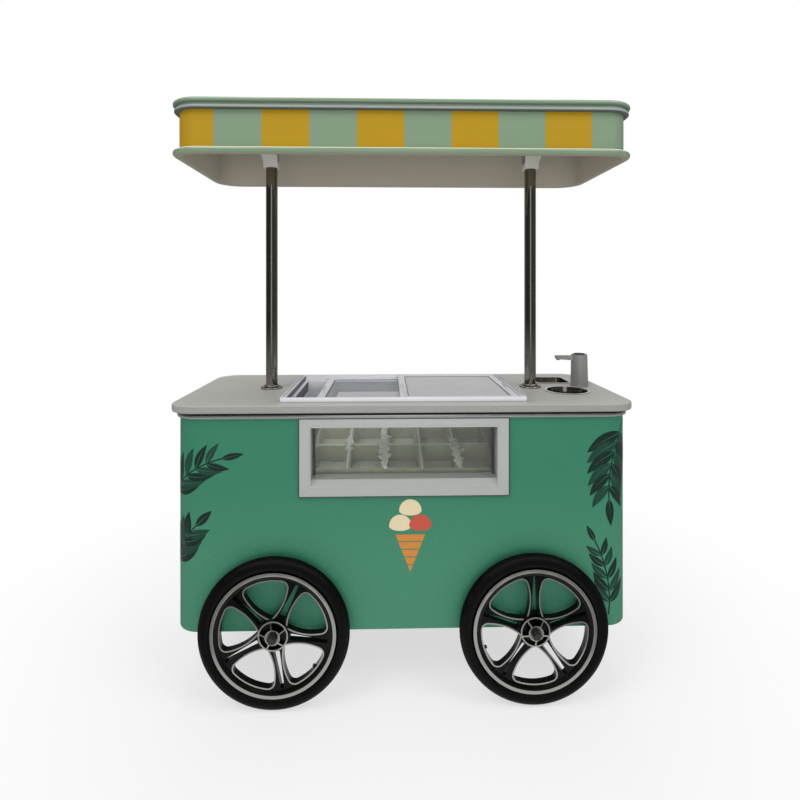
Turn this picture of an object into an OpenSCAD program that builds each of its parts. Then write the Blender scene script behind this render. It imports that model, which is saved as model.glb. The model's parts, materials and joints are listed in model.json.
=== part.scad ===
// Ice cream push cart: a chilled display cart on four wheels, with a counter and a striped canopy on poles.
// Millimetres, +Z up, -Y is the customer side with the window, origin on the ground under the middle.

/* [Counter] */
// Length of the countertop
counter_len = 1600; // [1450:10:1800]
// Depth of the countertop, front to back
counter_depth = 660; // [640:5:760]
// Height of the countertop above the ground
counter_h = 994; // [940:2:1060]
// Thickness of the countertop slab
counter_t = 26; // [20:1:40]
// Corner radius of the countertop
counter_r = 85; // [50:1:120]
// Radius of the countertop's eased edges
counter_ease = 6; // [3:0.5:10]
// How far the slab stands past the body on each side
counter_overhang = 22; // [12:1:32]
// Height of the dark shadow strip under the slab
gasket_t = 8; // [4:1:14]
// How far the shadow strip is set back from the metal trim
gasket_inset = 4; // [1:0.5:8]
// Height of the metal trim below the shadow strip
trim_h = 12; // [8:1:20]
// How far the metal trim stands past the body
trim_proud = 10; // [4:1:11]
// Width of the trim ring, seen from above
trim_w = 36; // [26:1:40]

/* [Body] */
// Height of the body's lower edge above the ground
body_clear = 232; // [215:1:238]
// Outer corner radius of the body
body_r = 83; // [60:1:110]
// Thickness of the body sheets
skin_t = 3; // [2:0.5:5]
// Thickness of the floor sheet
floor_t = 3; // [2:0.5:5]
// Width of the square frame tubes
rail_s = 40; // [30:1:45]

/* [Wheels] */
// Outer diameter of the tyres
wheel_d = 500; // [480:5:540]
// Width of the tyre section
tyre_w = 47; // [38:1:56]
// Distance between the left and right axles
wheel_base = 864; // [780:2:900]
// Diameter of the axles
axle_d = 20; // [16:1:24]
// Length of the wheel hub along the axle
hub_len = 60; // [50:1:72]
// Gap between the body and the wheel hub
hub_gap = 8; // [4:0.5:14]
// Radius of the ring round the hub
hub_ring_r = 47; // [42:0.5:50]
// Outer radius of the rim flange
rim_r = 206; // [200:1:212]
// Depth of the rim wall below its flange
rim_wall = 22; // [16:1:26]
// Thickness of the spokes
spoke_t = 24; // [16:1:34]
// Number of spokes
spoke_count = 5; // [5:1:5]
// Width of the raised beads round the rim windows
bead_w = 4.5; // [3:0.5:6]
// Height of the raised beads
bead_h = 1.5; // [1:0.25:3]
// Angle of one spoke on the left wheels
left_spoke_angle = 64; // [0:1:71]
// Angle of one spoke on the right wheels
right_spoke_angle = 90; // [72:1:143]

/* [Poles] */
// Outer diameter of the canopy poles
pole_d = 45; // [38:0.5:51]
// Wall of the canopy poles
pole_wall = 2; // [1.5:0.25:4]
// Distance between the two poles
pole_span = 1022; // [1010:2:1040]
// Diameter of the flange at the foot of a pole
flange_d = 84; // [76:1:90]
// Height of the flange at the foot of a pole
flange_h = 14; // [8:1:24]
// Depth of the sockets under the counter
socket_depth = 120; // [80:5:160]

/* [Canopy] */
// Length of the canopy over its lower lip
canopy_len = 1612; // [1500:2:1700]
// Depth of the canopy over its lower lip
canopy_depth = 645; // [560:5:720]
// Corner radius of the canopy over its lower lip
canopy_r = 105; // [80:1:130]
// Height of the lower lip's underside above the ground
canopy_z = 1842; // [1780:2:1920]
// Height of the lower lip
lip_h = 22; // [16:1:30]
// Height of the striped fascia between lip and cornice
fascia_h = 128; // [100:1:150]
// Thickness of the fascia board
fascia_t = 6; // [4:0.5:10]
// How far lip and top board stand past the fascia
canopy_ledge = 22; // [14:1:28]
// Height of the grey cornice strip
cornice_h = 14; // [8:1:20]
// Height of the groove between the cornice and the top board
groove_h = 6; // [3:0.5:9]
// How far the cornice strip is set back from the top board
cornice_inset = 4; // [1:0.5:8]
// How far the groove is set back from the top board
groove_inset = 12; // [9:0.5:14]
// Thickness of the top board
board_t = 17; // [12:1:24]

/* [Freezer] */
// Length of the freezer's lid track over its flange
track_len = 854; // [820:2:880]
// Depth of the freezer's lid track over its flange
track_dep = 490; // [470:2:500]
// How far the track's middle lies in front of the counter's middle
track_shift = 30; // [20:1:36]
// Length of one sliding lid
lid_len = 419; // [410:1:440]
// Thickness of the lid frames
lid_t = 8; // [7:0.5:11]
// How far the left lid is slid open at rest
lid_open = 99; // [20:1:180]
// Thickness of the lid glass
lid_glass_t = 4; // [3:0.5:5]
// Height of the insulated casing
casing_h = 468; // [440:2:490]
// Insulation below the freezer well
casing_floor = 40; // [30:1:60]
// Thickness of the well's steel liner
liner_t = 2; // [1.5:0.25:3]
// Number of pans across the well
pan_cols = 5; // [4:1:5]
// Spacing of the pans across the well
pan_pitch_x = 135; // [124:1:140]
// Spacing of the pans up the slope
pan_pitch_v = 188; // [170:1:192]
// Depth of the pans
pan_deep = 90; // [60:1:95]
// Slope of the pan rack
pan_tilt = 11; // [6:0.5:13]
// Depth of the pan rack's middle below the counter
pan_drop = 219; // [205:1:240]

/* [Window] */
// Outer width of the window frame
win_w = 709; // [640:2:730]
// Outer height of the window frame
win_h = 263; // [230:1:280]
// Width of the frame at the sides and top
win_border = 38; // [28:1:46]
// Height of the band under the sill
win_band = 35; // [24:1:44]
// Rise of the sloping sill
win_sill = 17; // [8:1:24]
// How far the frame stands off the body
win_proud = 8; // [4:0.5:10]
// Width of the raised bead round the opening
win_bead = 6; // [3:0.5:10]
// Height of the raised bead
win_bead_h = 2; // [1:0.5:4]
// Wall of the sleeve that lines the opening
sleeve_t = 8; // [5:0.5:12]
// Thickness of each window pane
pane_t = 4; // [3:0.5:6]

/* [Wash station] */
// Outer diameter of the round basin's rim
basin_d = 173; // [150:1:180]
// Depth of the round basin
basin_deep = 110; // [80:1:140]
// Distance of the wash station from the cart's middle
basin_x = 633; // [625:1:645]
// Distance of the basin in front of the counter's middle
basin_front = 79; // [75:1:90]
// Outer length of the utensil pan's rim
utensil_len = 150; // [140:1:160]
// Outer depth of the utensil pan's rim
utensil_dep = 155; // [140:1:165]
// Depth of the utensil pan's bowl
utensil_deep = 100; // [60:1:130]
// Distance of the utensil pan behind the counter's middle
utensil_back = 150; // [145:1:160]
// Distance of the tap from the cart's middle
tap_x = 714; // [708:1:722]
// Distance of the tap behind the counter's middle
tap_back = 16; // [12:1:20]
// Diameter of the tap's body
tap_d = 62; // [54:0.5:64]
// Height of the tap above the counter
tap_h = 131; // [110:1:160]
// Reach of the spout past the tap's body
spout_reach = 68; // [50:1:80]

/* [Rear doors] */
// Width of one rear door
door_w = 185; // [160:1:188]
// Height of the doors' lower edge above the tyres
door_rise = 15; // [8:1:40]
// Distance of the doors' top edge below the body's top edge
door_drop = 83; // [60:1:120]
// Depth of the doors' folded edge
door_t = 18; // [12:1:26]
// Gap round the doors
door_gap = 2; // [1.5:0.25:3]
// Diameter of the hinge barrels
hinge_d = 10; // [8:0.5:12]

/* [Cooling unit] */
// Diameter of the compressor shell
comp_d = 140; // [120:1:150]
// Height of the compressor shell
comp_h = 150; // [120:1:165]
// Length of the condenser
cond_len = 260; // [220:2:300]
// Height of the condenser
cond_h = 150; // [130:1:165]
// Diameter of the fan
fan_d = 126; // [100:1:128]
// Length of the rear vent grille
vent_len = 356; // [300:2:364]
// Height of the rear vent grille
vent_h = 140; // [100:1:150]

/* [Hidden] */
$fn = 64;
// Clearances: loose seats, running fits, cut overrun, sides of a rounded outline inside its corner arcs
fit = 0.3;
run_fit = 0.05;
over = 5;
arc_step = 0.1;
screw_d = 6;

// Levels of the body and counter
counter_z0 = counter_h - counter_t;
gasket_z0 = counter_z0 - gasket_t;
body_z1 = gasket_z0 - trim_h;
body_h = body_z1 - body_clear;
// Plan of the body
body_len = counter_len - 2 * counter_overhang;
body_dep = counter_depth - 2 * counter_overhang;
in_len = body_len - 2 * skin_t;
in_dep = body_dep - 2 * skin_t;
in_r = body_r - skin_t;
flat_x = body_len / 2 - body_r;
front_y = -body_dep / 2;
floor_z1 = body_clear + floor_t;
rail_z1 = floor_z1 + rail_s;

// Freezer plan and levels
track_y = -track_shift;
track_flange_w = 10;
track_end = 20;
track_side = 10;
ledge_w = 14;
lid_lift = 0.3;
lid_part = 1.7;
ledge_drop = 4;
lower_ledge_z = counter_h - ledge_drop;
upper_ledge_z = lower_ledge_z + lid_lift + lid_t + lid_part;
track_z1 = upper_ledge_z + lid_lift + lid_t + lid_part;
bay_len = track_len - 2 * track_end;
upper_dep = track_dep - 2 * track_side;
lower_dep = upper_dep - 2 * ledge_w;
mouth_len = bay_len - 2 * ledge_w;
mouth_dep = lower_dep - 2 * ledge_w;
liner_rim_w = 12;
well_len = mouth_len + 2 * liner_t;
well_dep = mouth_dep + 2 * liner_t;
liner_z1 = body_z1 + liner_t;
casing_z0 = body_z1 - casing_h;
well_z0 = casing_z0 + casing_floor;
casing_side = 15;
casing_len = track_len + 2 * casing_side;
rear_rail_y = in_dep / 2 - rail_s;
casing_y1 = rear_rail_y - fit;
casing_y0 = -in_dep / 2;
bay_x = casing_len / 2 + rail_s / 2 + fit;

// Lids
lid_bar = 28;
lid_edge = 22;
groove_d = 6;
rail_rib_w = 4;
rail_rib_h = 3;
rail_ribs = 2;
lid_x0 = -bay_len / 2 + lid_open;
lid_right_x1 = bay_len / 2 - 2 * fit;
grip_len = 90;
grip_w = 10;
grip_deep = 3;

// Window
win_z1 = body_z1 - fit;
win_z0 = win_z1 - win_h;
win_open_w = win_w - 2 * win_border;
win_open_z0 = win_z0 + win_band;
win_top = 31;
win_open_z1 = win_z1 - win_top;
sill_z = win_open_z0 + win_sill;
sill_run = 20;
sleeve_y1 = track_y - well_dep / 2 + liner_t;
front_face_y = front_y - win_proud;
pane_y0 = front_face_y + sill_run;

// Pans
pan_gap = 14;
pan_wall = 2;
pan_r = 18;
pan_rim_t = 3;
pan_rim_gap = 2;
rack_bar = 8;
rack_h = 10;

// Wheels
axle_z = wheel_d / 2;
wheel_y = body_dep / 2 + hub_gap + hub_len / 2;
rim_lip = 6;
tyre_in_r = rim_r - rim_lip;
hub_r = 32;
hub_face_r = hub_ring_r + bead_w / 2;
hub_face_t = 8;
bearing_wall = 11;
bearing_d = axle_d + 2 * bearing_wall;
bearing_w = 12;
bearing_inset = 1;
collar_step = 4;
collar_d = axle_d + 2 * collar_step;
nut_step = 6;
nut_d = axle_d + 2 * nut_step;
nut_h = 14;
axle_end = 3;
rim_tuck = 3;
rim_half = tyre_w / 2 - rim_tuck;
window_edge = 8;
window_out_r = rim_r - rim_wall - window_edge;
corner_r = 20;
corner_angle = 19.4;
apex_r = 6;
apex_at = hub_face_r + bead_w / 2 + apex_r;
window_side_r = 170;
slot_r = 3;
slot_off_hub = 6;
slot_in = hub_face_r + slot_off_hub + slot_r;
slot_off_rim = 4;
slot_out = rim_r - rim_wall - slot_off_rim - slot_r;
slot_half_in = 8;
slot_half_out = 2.5;
boss_wall = 4;
boss_r = bearing_d / 2 + boss_wall;
hub_ring_wall = 7;
ring_w = 11;
tread_groove = 3;
tread_angles = [-32, -11, 11, 32];

// Poles
pole_x = pole_span / 2;
pole_r = pole_d / 2;
flange_round = 3;
flange_base_h = 6;
flange_neck_wall = 7;
flange_neck_d = pole_d + 2 * flange_neck_wall;
socket_wall = 4;
socket_floor = 5;
socket_plate = 90;
socket_plate_t = 6;
socket_z0 = counter_z0 - socket_depth;
ceiling_z = canopy_z + lip_h + fascia_h + cornice_h + groove_h;
beam_h = 27;
beam_w = 30;
beam_gap = 60;
beam_z0 = ceiling_z - beam_h;
head_plate_t = 5;
head_rise = 16;
head_z0 = canopy_z + head_rise;
head_collar_h = 22;
head_wall = 4;
head_play = 1;
head_half = pole_r + head_wall + head_play;
head_flare_x = 34;
head_flare_y = 32;
head_z1 = beam_z0 - head_plate_t;

// Canopy plan
fascia_len = canopy_len - 2 * canopy_ledge;
fascia_dep = canopy_depth - 2 * canopy_ledge;
fascia_r = canopy_r - canopy_ledge;
fascia_z0 = canopy_z + lip_h;
fascia_z1 = fascia_z0 + fascia_h;
lip_seat = 8;

// Wash station
basin_y = -basin_front;
basin_rim_w = 10;
basin_rim_t = 2;
basin_wall = 1.5;
basin_bend = 30;
drain_d = 40;
drain_pipe_d = 32;
drain_wall = 3;
drain_nut_h = 16;
tank_len = 150;
tank_dep = 190;
tank_h = 280;
tank_r = 10;
tank_wall = 4;
tank_neck_wall = 10;
tank_neck_d = drain_pipe_d + 2 * tank_neck_wall;
tank_neck_h = 25;
bottle_d = 150;
bottle_h = 250;
bottle_neck_d = 54;
bottle_neck_h = 40;
bottle_cap_h = 22;
bottle_cap_step = 3;
bottle_off_rail = 20;
bottle_y = in_dep / 2 - rail_s - bottle_d / 2 - bottle_off_rail;
utensil_rim_w = 7;
utensil_r = 22;
tap_base_step = 4;
tap_base_d = tap_d + 2 * tap_base_step;
tap_base_h = 10;
tap_stem_d = 22;
tap_stem_len = 60;
tap_nut_d = 44;
tap_nut_h = 10;
tap_top_h = 22;
tap_flare = 3;
spout_w = 26;
spout_h = 20;
spout_tip_h = 13;
spout_drop = 5;
spout_slant = 6;
nozzle_d = 15;
nozzle_h = 9;
button_d = 44;
button_h = 9;
button_travel = 3;
button_proud = 4;
tap_pin_d = 18;

// Rear doors and hinges
door_sheet = 2;
door_z0 = wheel_d + door_rise;
door_h = body_z1 - door_drop - door_z0;
door_off_post = 8;
door_x0 = bay_x + rail_s / 2 + door_off_post;
hinge_off_skin = 0.5;
hinge_y = body_dep / 2 + hinge_d / 2 + hinge_off_skin;
hinge_x = door_x0 - door_gap / 2;
hinge_h = 60;
hinge_leaf = 24;
hinge_leaf_t = 2;
hinge_pin_d = hinge_d / 2;
knuckle_gap = 0.4;
hinge_inset = 70;
handle_len = 130;
handle_off = 30;
handle_bar = 10;
handle_inset = 26;

// Cooling unit
comp_x = -190;
comp_y = 60;
comp_r = comp_d / 2;
comp_round = 38;
comp_foot = 12;
comp_plate_t = 4;
comp_plate_edge = 20;
comp_plate = comp_d + 2 * comp_plate_edge;
cond_x = 130;
cond_t = 50;
cond_off_casing = 70;
cond_y1 = casing_y1 - cond_off_casing;
fin_t = 1.5;
fin_gap = 6.5;
cond_plate_t = 3;
cond_tube_d = 9;
cond_tube_rows = 4;
shroud_t = 25;
shroud_wall = 2;
motor_d = 50;
motor_len = 30;
fan_shaft_d = 8;
fan_hub_d = 36;
fan_hub_t = 16;
fan_blade_t = 2.5;
fan_blade_w = 22;
fan_pitch = 32;
fan_blades = 5;
fan_clear = 5;
fan_arm_w = 5;
vent_frame = 16;
vent_t = 4;
vent_slat_t = 2;
vent_slat_w = 16;
vent_slat_tilt = 40;
vent_pitch = 17;
vent_off_rail = 12;
vent_z0 = rail_z1 + vent_off_rail;
panel_len = 150;
panel_h = 74;
panel_t = 8;
panel_drop = 130;
panel_z0 = body_z1 - panel_drop;
panel_r = 8;
display_len = 64;
display_h = 30;
display_deep = 2;
key_d = 9;
key_pitch = 11;
key_count = 3;
key_deep = 1;
inlet_len = 34;
inlet_h = 26;
inlet_deep = 6;

// Shared shapes

// Rounded rectangle, centred
module rrect(l, w, r) {
    square([l - 2 * r, w], center = true);
    square([l, w - 2 * r], center = true);
    for (sx = [-1, 1], sy = [-1, 1])
        translate([sx * (l / 2 - r), sy * (w / 2 - r)]) circle(r = r);
}

// Sweeps a profile round a rounded rectangle: its x runs out from the corners' centres, its y runs up
module swept(l, w, r) {
    a = l / 2 - r;
    b = w / 2 - r;
    for (t = [0, 180]) rotate(t) {
        translate([a, 0, 0]) rotate([90, 0, 0]) linear_extrude(2 * b, center = true) children();
        rotate(90) translate([b, 0, 0]) rotate([90, 0, 0]) linear_extrude(2 * a, center = true) children();
        translate([a, b, 0]) rotate_extrude(angle = 90) children();
        translate([-a, b, 0]) rotate(90) rotate_extrude(angle = 90) children();
    }
}

// Strip from x0 to x1 and h high, its outer edges rounded by e
module edge_profile(x0, x1, h, e) {
    translate([x0, 0]) square([x1 - e - x0, h]);
    if (h > 2 * e) translate([x0, e]) square([x1 - x0, h - 2 * e]);
    for (y = [e, h - e]) translate([x1 - e, y]) circle(r = e);
}

// Slab with a rounded rectangular plan and rounded edges, from z0 to z1
module soft_slab(l, w, r, z0, z1, e) {
    translate([0, 0, z0]) {
        linear_extrude(z1 - z0) square([l - 2 * r, w - 2 * r], center = true);
        swept(l, w, r) edge_profile(0, r, z1 - z0, e);
    }
}

// Rounded rectangular ring of wall t
module rring(l, w, r, t) {
    difference() {
        rrect(l, w, r);
        rrect(l - 2 * t, w - 2 * t, r - t);
    }
}

// Slab with a rounded rectangular plan, from z0 to z1
module rslab(l, w, r, z0, z1) {
    translate([0, 0, z0]) linear_extrude(z1 - z0) rrect(l, w, r);
}

// Plain block from one corner to the other
module block(a, b) {
    translate(a) cube(b - a);
}

// Rectangle with cut corners, centred
module cut_rect(l, w, c) {
    x = l / 2;
    y = w / 2;
    polygon([[x - c, -y], [x, c - y], [x, y - c], [x - c, y],
        [c - x, y], [-x, y - c], [-x, c - y], [c - x, -y]]);
}

// Ring with cut corners, as wide as a frame tube, that follows the inside of the body
module frame_ring() {
    cut = in_r;
    difference() {
        cut_rect(in_len, in_dep, cut);
        cut_rect(in_len - 2 * rail_s, in_dep - 2 * rail_s, cut - rail_s * (2 - sqrt(2)));
    }
}

// Direction across an edge, pointing out of an outline that runs anticlockwise
function out_of(a, b) = [b[1] - a[1], a[0] - b[0]] / norm(b - a);

// Convex outline grown by r, with round corners
module round_outline(pts, r) {
    last = len(pts) - 1;
    side = r - arc_step;
    polygon([for (i = [0:last]) let (a = pts[i], b = pts[i == last ? 0 : i + 1])
        each [a + side * out_of(a, b), b + side * out_of(a, b)]]);
    for (p = pts) translate(p) circle(r = r);
}

// Half of a rounded profile, for turning
module half_profile(d, h, r) {
    intersection() {
        translate([0, h / 2]) rrect(d, h, r);
        square([d, h]);
    }
}

// Frame and floor

module base_frame() {
    color("dimgray") difference() {
        translate([0, 0, floor_z1]) linear_extrude(rail_s) frame_ring();
        for (s = [-1, 1])
            translate([s * wheel_base / 2, 0, axle_z]) rotate([90, 0, 0])
                cylinder(d = axle_d + fit, h = body_dep + over, center = true);
    }
}

module upper_frame() {
    post_h = body_z1 - rail_z1;
    end_post_x = in_len / 2 - rail_s;
    end_post_y = in_dep / 2 - in_r - rail_s;
    color("dimgray") {
        // Top ring, open in front of the window
        difference() {
            translate([0, 0, body_z1 - rail_s]) linear_extrude(rail_s) frame_ring();
            block([-bay_x, -in_dep / 2 - over, body_z1 - rail_s - over], [bay_x, 0, body_z1 + over]);
        }
        for (sx = [-1, 1], sy = [-1, 1]) {
            translate([sx * bay_x, sy * (in_dep / 2 - rail_s / 2), rail_z1 + post_h / 2])
                cube([rail_s, rail_s, post_h], center = true);
            translate([sx * (end_post_x + rail_s / 2), sy * (end_post_y + rail_s / 2), rail_z1 + post_h / 2])
                cube([rail_s, rail_s, post_h], center = true);
        }
        // Bearers under the freezer
        for (y0 = [-in_dep / 2, rear_rail_y - rail_s])
            block([-bay_x - rail_s / 2, y0, casing_z0 - rail_s],
                [bay_x + rail_s / 2, y0 + rail_s, casing_z0]);
    }
}

module floor_panel() {
    color("gray") rslab(in_len - fit, in_dep - fit, in_r, body_clear, floor_z1);
}

// Body sheets

module skin_end(side) {
    translate([0, 0, body_clear]) linear_extrude(body_h) intersection() {
        rring(body_len, body_dep, body_r, skin_t);
        translate([side * (flat_x + body_r / 2 + over / 2), 0])
            square([body_r + over, body_dep + over], center = true);
    }
}

module skin_left() {
    color("seagreen") skin_end(-1);
}

module skin_right() {
    color("seagreen") skin_end(1);
}

module skin_front() {
    color("seagreen") difference() {
        block([-flat_x, front_y, body_clear], [flat_x, front_y + skin_t, body_z1]);
        window_cut();
        for (s = [-1, 1])
            translate([s * wheel_base / 2, front_y, axle_z]) rotate([90, 0, 0])
                cylinder(d = collar_d + 2 * fit, h = 2 * over, center = true);
    }
}

module skin_back() {
    color("seagreen") difference() {
        block([-flat_x, -front_y - skin_t, body_clear], [flat_x, -front_y, body_z1]);
        for (s = [-1, 1]) {
            translate([s * wheel_base / 2, -front_y, axle_z]) rotate([90, 0, 0])
                cylinder(d = collar_d + 2 * fit, h = 2 * over, center = true);
            translate([s * (door_x0 + door_w / 2), -front_y, door_z0 + door_h / 2])
                cube([door_w + 2 * door_gap, 2 * over, door_h + 2 * door_gap], center = true);
        }
        translate([0, -front_y, vent_z0 + vent_h / 2])
            cube([vent_len - vent_frame, 2 * over, vent_h - vent_frame], center = true);
    }
}

// Counter

module top_trim() {
    color("silver") translate([0, 0, body_z1]) linear_extrude(trim_h)
        rring(body_len + 2 * trim_proud, body_dep + 2 * trim_proud, body_r + trim_proud, trim_w);
}

module counter_gasket() {
    out = 2 * (trim_proud - gasket_inset);
    color("black") translate([0, 0, gasket_z0]) linear_extrude(gasket_t)
        rring(body_len + out, body_dep + out, body_r + out / 2, trim_w - gasket_inset);
}

// Cuts a plan shape down through the counter
module through_counter(x, y) {
    translate([x, y, counter_z0 - over]) linear_extrude(counter_t + 2 * over) children();
}

module countertop() {
    color("gainsboro") difference() {
        soft_slab(counter_len, counter_depth, counter_r, counter_z0, counter_h, counter_ease);
        through_counter(0, track_y) square([skirt_len() + 2 * fit, skirt_dep() + 2 * fit], center = true);
        for (s = [-1, 1]) through_counter(s * pole_x, 0) circle(d = pole_d + 2 * fit);
        through_counter(basin_x, basin_y) circle(d = basin_d - 2 * basin_rim_w + 2 * fit);
        through_counter(basin_x, utensil_back) rrect(utensil_len - 2 * (utensil_rim_w - fit),
            utensil_dep - 2 * (utensil_rim_w - fit), utensil_r + fit);
        through_counter(tap_x, tap_back) circle(d = tap_stem_d + 2 * fit);
    }
}

// Window

module window_cut() {
    grow = sleeve_t + fit;
    block([-win_open_w / 2 - grow, front_y - over, win_open_z0 - grow],
        [win_open_w / 2 + grow, sleeve_y1 + over, win_open_z1 + grow]);
}

module window_frame() {
    color("whitesmoke") {
        difference() {
            union() {
                block([-win_w / 2, front_face_y, win_z0], [win_w / 2, front_y, win_z1]);
                block([-win_open_w / 2 - win_bead, front_face_y - win_bead_h, win_open_z0 - win_bead],
                    [win_open_w / 2 + win_bead, front_y, win_open_z1 + win_bead]);
                block([-win_open_w / 2 - sleeve_t, front_y, win_open_z0 - sleeve_t],
                    [win_open_w / 2 + sleeve_t, sleeve_y1, win_open_z1 + sleeve_t]);
            }
            block([-win_open_w / 2, front_face_y - over, win_open_z0],
                [win_open_w / 2, sleeve_y1 + over, win_open_z1]);
        }
        // Sloping sill
        translate([-win_open_w / 2, 0, 0]) rotate([90, 0, 90]) linear_extrude(win_open_w)
            polygon([[front_face_y, win_open_z0], [sleeve_y1, win_open_z0],
                [sleeve_y1, sill_z], [pane_y0, sill_z]]);
    }
}

module window_panes() {
    color("lightcyan", 0.4) for (y = [pane_y0, sleeve_y1 - pane_t])
        block([-win_open_w / 2 + fit, y, sill_z], [win_open_w / 2 - fit, y + pane_t, win_open_z1 - fit]);
}

// Freezer

function skirt_len() = track_len - 2 * track_flange_w;
function skirt_dep() = track_dep - 2 * track_flange_w;

// Rectangular block on the track's middle, from z0 to z1
module track_block(l, w, z0, z1) {
    translate([0, track_y, z0]) linear_extrude(z1 - z0) square([l, w], center = true);
}

module freezer_casing() {
    color("white") difference() {
        block([-casing_len / 2, casing_y0, casing_z0], [casing_len / 2, casing_y1, body_z1]);
        track_block(well_len + 2 * fit, well_dep + 2 * fit, well_z0, body_z1 + over);
        window_cut();
    }
}

module freezer_liner() {
    color("lightgray") difference() {
        union() {
            track_block(well_len, well_dep, well_z0, body_z1);
            track_block(well_len + 2 * liner_rim_w, well_dep + 2 * liner_rim_w, body_z1, liner_z1);
        }
        track_block(well_len - 2 * liner_t, well_dep - 2 * liner_t, well_z0 + liner_t, liner_z1 + over);
        window_cut();
    }
}

// Moves what follows onto the sloping pan rack
module on_rack() {
    translate([0, track_y, counter_h - pan_drop]) rotate([pan_tilt, 0, 0]) children();
}

module pan_rack() {
    span = well_len - 2 * liner_t - 2 * fit;
    color("silver") on_rack() translate([0, 0, -rack_h / 2]) {
        for (j = [-1, 0, 1])
            translate([0, j * pan_pitch_v, 0]) cube([span, rack_bar, rack_h], center = true);
        for (i = [0:pan_cols])
            translate([(i - pan_cols / 2) * pan_pitch_x, 0, 0])
                cube([rack_bar, 2 * pan_pitch_v, rack_h], center = true);
    }
}

module pan() {
    l = pan_pitch_x - pan_gap;
    w = pan_pitch_v - pan_gap;
    difference() {
        union() {
            rslab(l, w, pan_r, -pan_deep, pan_rim_t);
            rslab(pan_pitch_x - pan_rim_gap, pan_pitch_v - pan_rim_gap, pan_r, 0, pan_rim_t);
        }
        rslab(l - 2 * pan_wall, w - 2 * pan_wall, pan_r - pan_wall, pan_wall - pan_deep, pan_rim_t + over);
    }
}

module pans() {
    color("lightgray") on_rack() for (i = [0:pan_cols - 1], j = [0, 1])
        translate([(i + 0.5 - pan_cols / 2) * pan_pitch_x, (j - 0.5) * pan_pitch_v, 0]) pan();
}

module lid_track() {
    color("white") difference() {
        union() {
            track_block(track_len, track_dep, counter_h, track_z1);
            track_block(skirt_len(), skirt_dep(), liner_z1, counter_h);
        }
        track_block(bay_len, upper_dep, upper_ledge_z, track_z1 + over);
        track_block(bay_len, lower_dep, lower_ledge_z, track_z1 + over);
        track_block(mouth_len, mouth_dep, liner_z1 - over, track_z1 + over);
    }
    // Ribs along both ends, each lower than the one outside it
    color("white") for (s = [-1, 1], i = [1:rail_ribs])
        translate([s * (track_len / 2 - (2 * i - 0.5) * rail_rib_w), track_y, track_z1 + rail_rib_h / 2 / i])
            cube([rail_rib_w, track_dep - 2 * track_side, rail_rib_h / i], center = true);
}

// Block inside a lid, set in from its four edges
module lid_block(dep, in_x, in_y, z0, z1) {
    block([in_x, in_y - dep / 2, z0], [lid_len - in_x, dep / 2 - in_y, z1]);
}

module lid_frame(dep) {
    glass_z = (lid_t - lid_glass_t) / 2;
    difference() {
        lid_block(dep, 0, 0, 0, lid_t);
        lid_block(dep, lid_bar, lid_edge, -over, lid_t + over);
        lid_block(dep, lid_bar - groove_d, lid_edge - groove_d, glass_z, glass_z + lid_glass_t);
        // Finger grips in the end bars
        for (x = [lid_bar / 2 - groove_d / 2, lid_len - lid_bar / 2 + groove_d / 2])
            translate([x, 0, lid_t - grip_deep / 2]) cube([grip_w, grip_len, grip_deep], center = true);
    }
}

module lid_glass(dep) {
    glass_z = (lid_t - lid_glass_t) / 2;
    inset = fit / 2;
    lid_block(dep, lid_bar - groove_d + inset, lid_edge - groove_d + inset, glass_z + inset / 2,
        glass_z + lid_glass_t - inset / 2);
}

module at_left_lid() {
    translate([lid_x0, track_y, lower_ledge_z + lid_lift]) children();
}

module at_right_lid() {
    translate([lid_right_x1 - lid_len, track_y, upper_ledge_z + lid_lift]) children();
}

module lid_left() {
    color("white") at_left_lid() lid_frame(lower_dep - 4 * fit);
}

module lid_left_glass() {
    color("lightcyan", 0.5) at_left_lid() lid_glass(lower_dep - 4 * fit);
}

module lid_right() {
    color("white") at_right_lid() lid_frame(upper_dep - 4 * fit);
}

module lid_right_glass() {
    color("lightcyan", 0.5) at_right_lid() lid_glass(upper_dep - 4 * fit);
}

// Cooling unit

module compressor() {
    foot_at = comp_plate / 2 - comp_foot;
    color("black") translate([comp_x, comp_y, floor_z1]) {
        for (sx = [-1, 1], sy = [-1, 1])
            translate([sx * foot_at, sy * foot_at, 0]) cylinder(r = comp_foot, h = comp_foot);
        rslab(comp_plate, comp_plate, comp_foot, comp_foot, comp_foot + comp_plate_t);
        translate([0, 0, comp_foot + comp_plate_t]) {
            rotate_extrude() half_profile(comp_d, comp_h, comp_round);
            rotate_extrude() translate([0, comp_h / 2]) square([comp_r + 2 * fin_t, comp_plate_t]);
            // Terminal box and pipe stubs
            translate([comp_r - comp_round / 2, -comp_round / 2, comp_round]) cube(comp_round);
            for (s = [-1, 1])
                translate([-comp_r / 2, s * comp_r / 2, comp_h - comp_round])
                    cylinder(d = cond_tube_d, h = comp_round);
        }
    }
}

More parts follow.
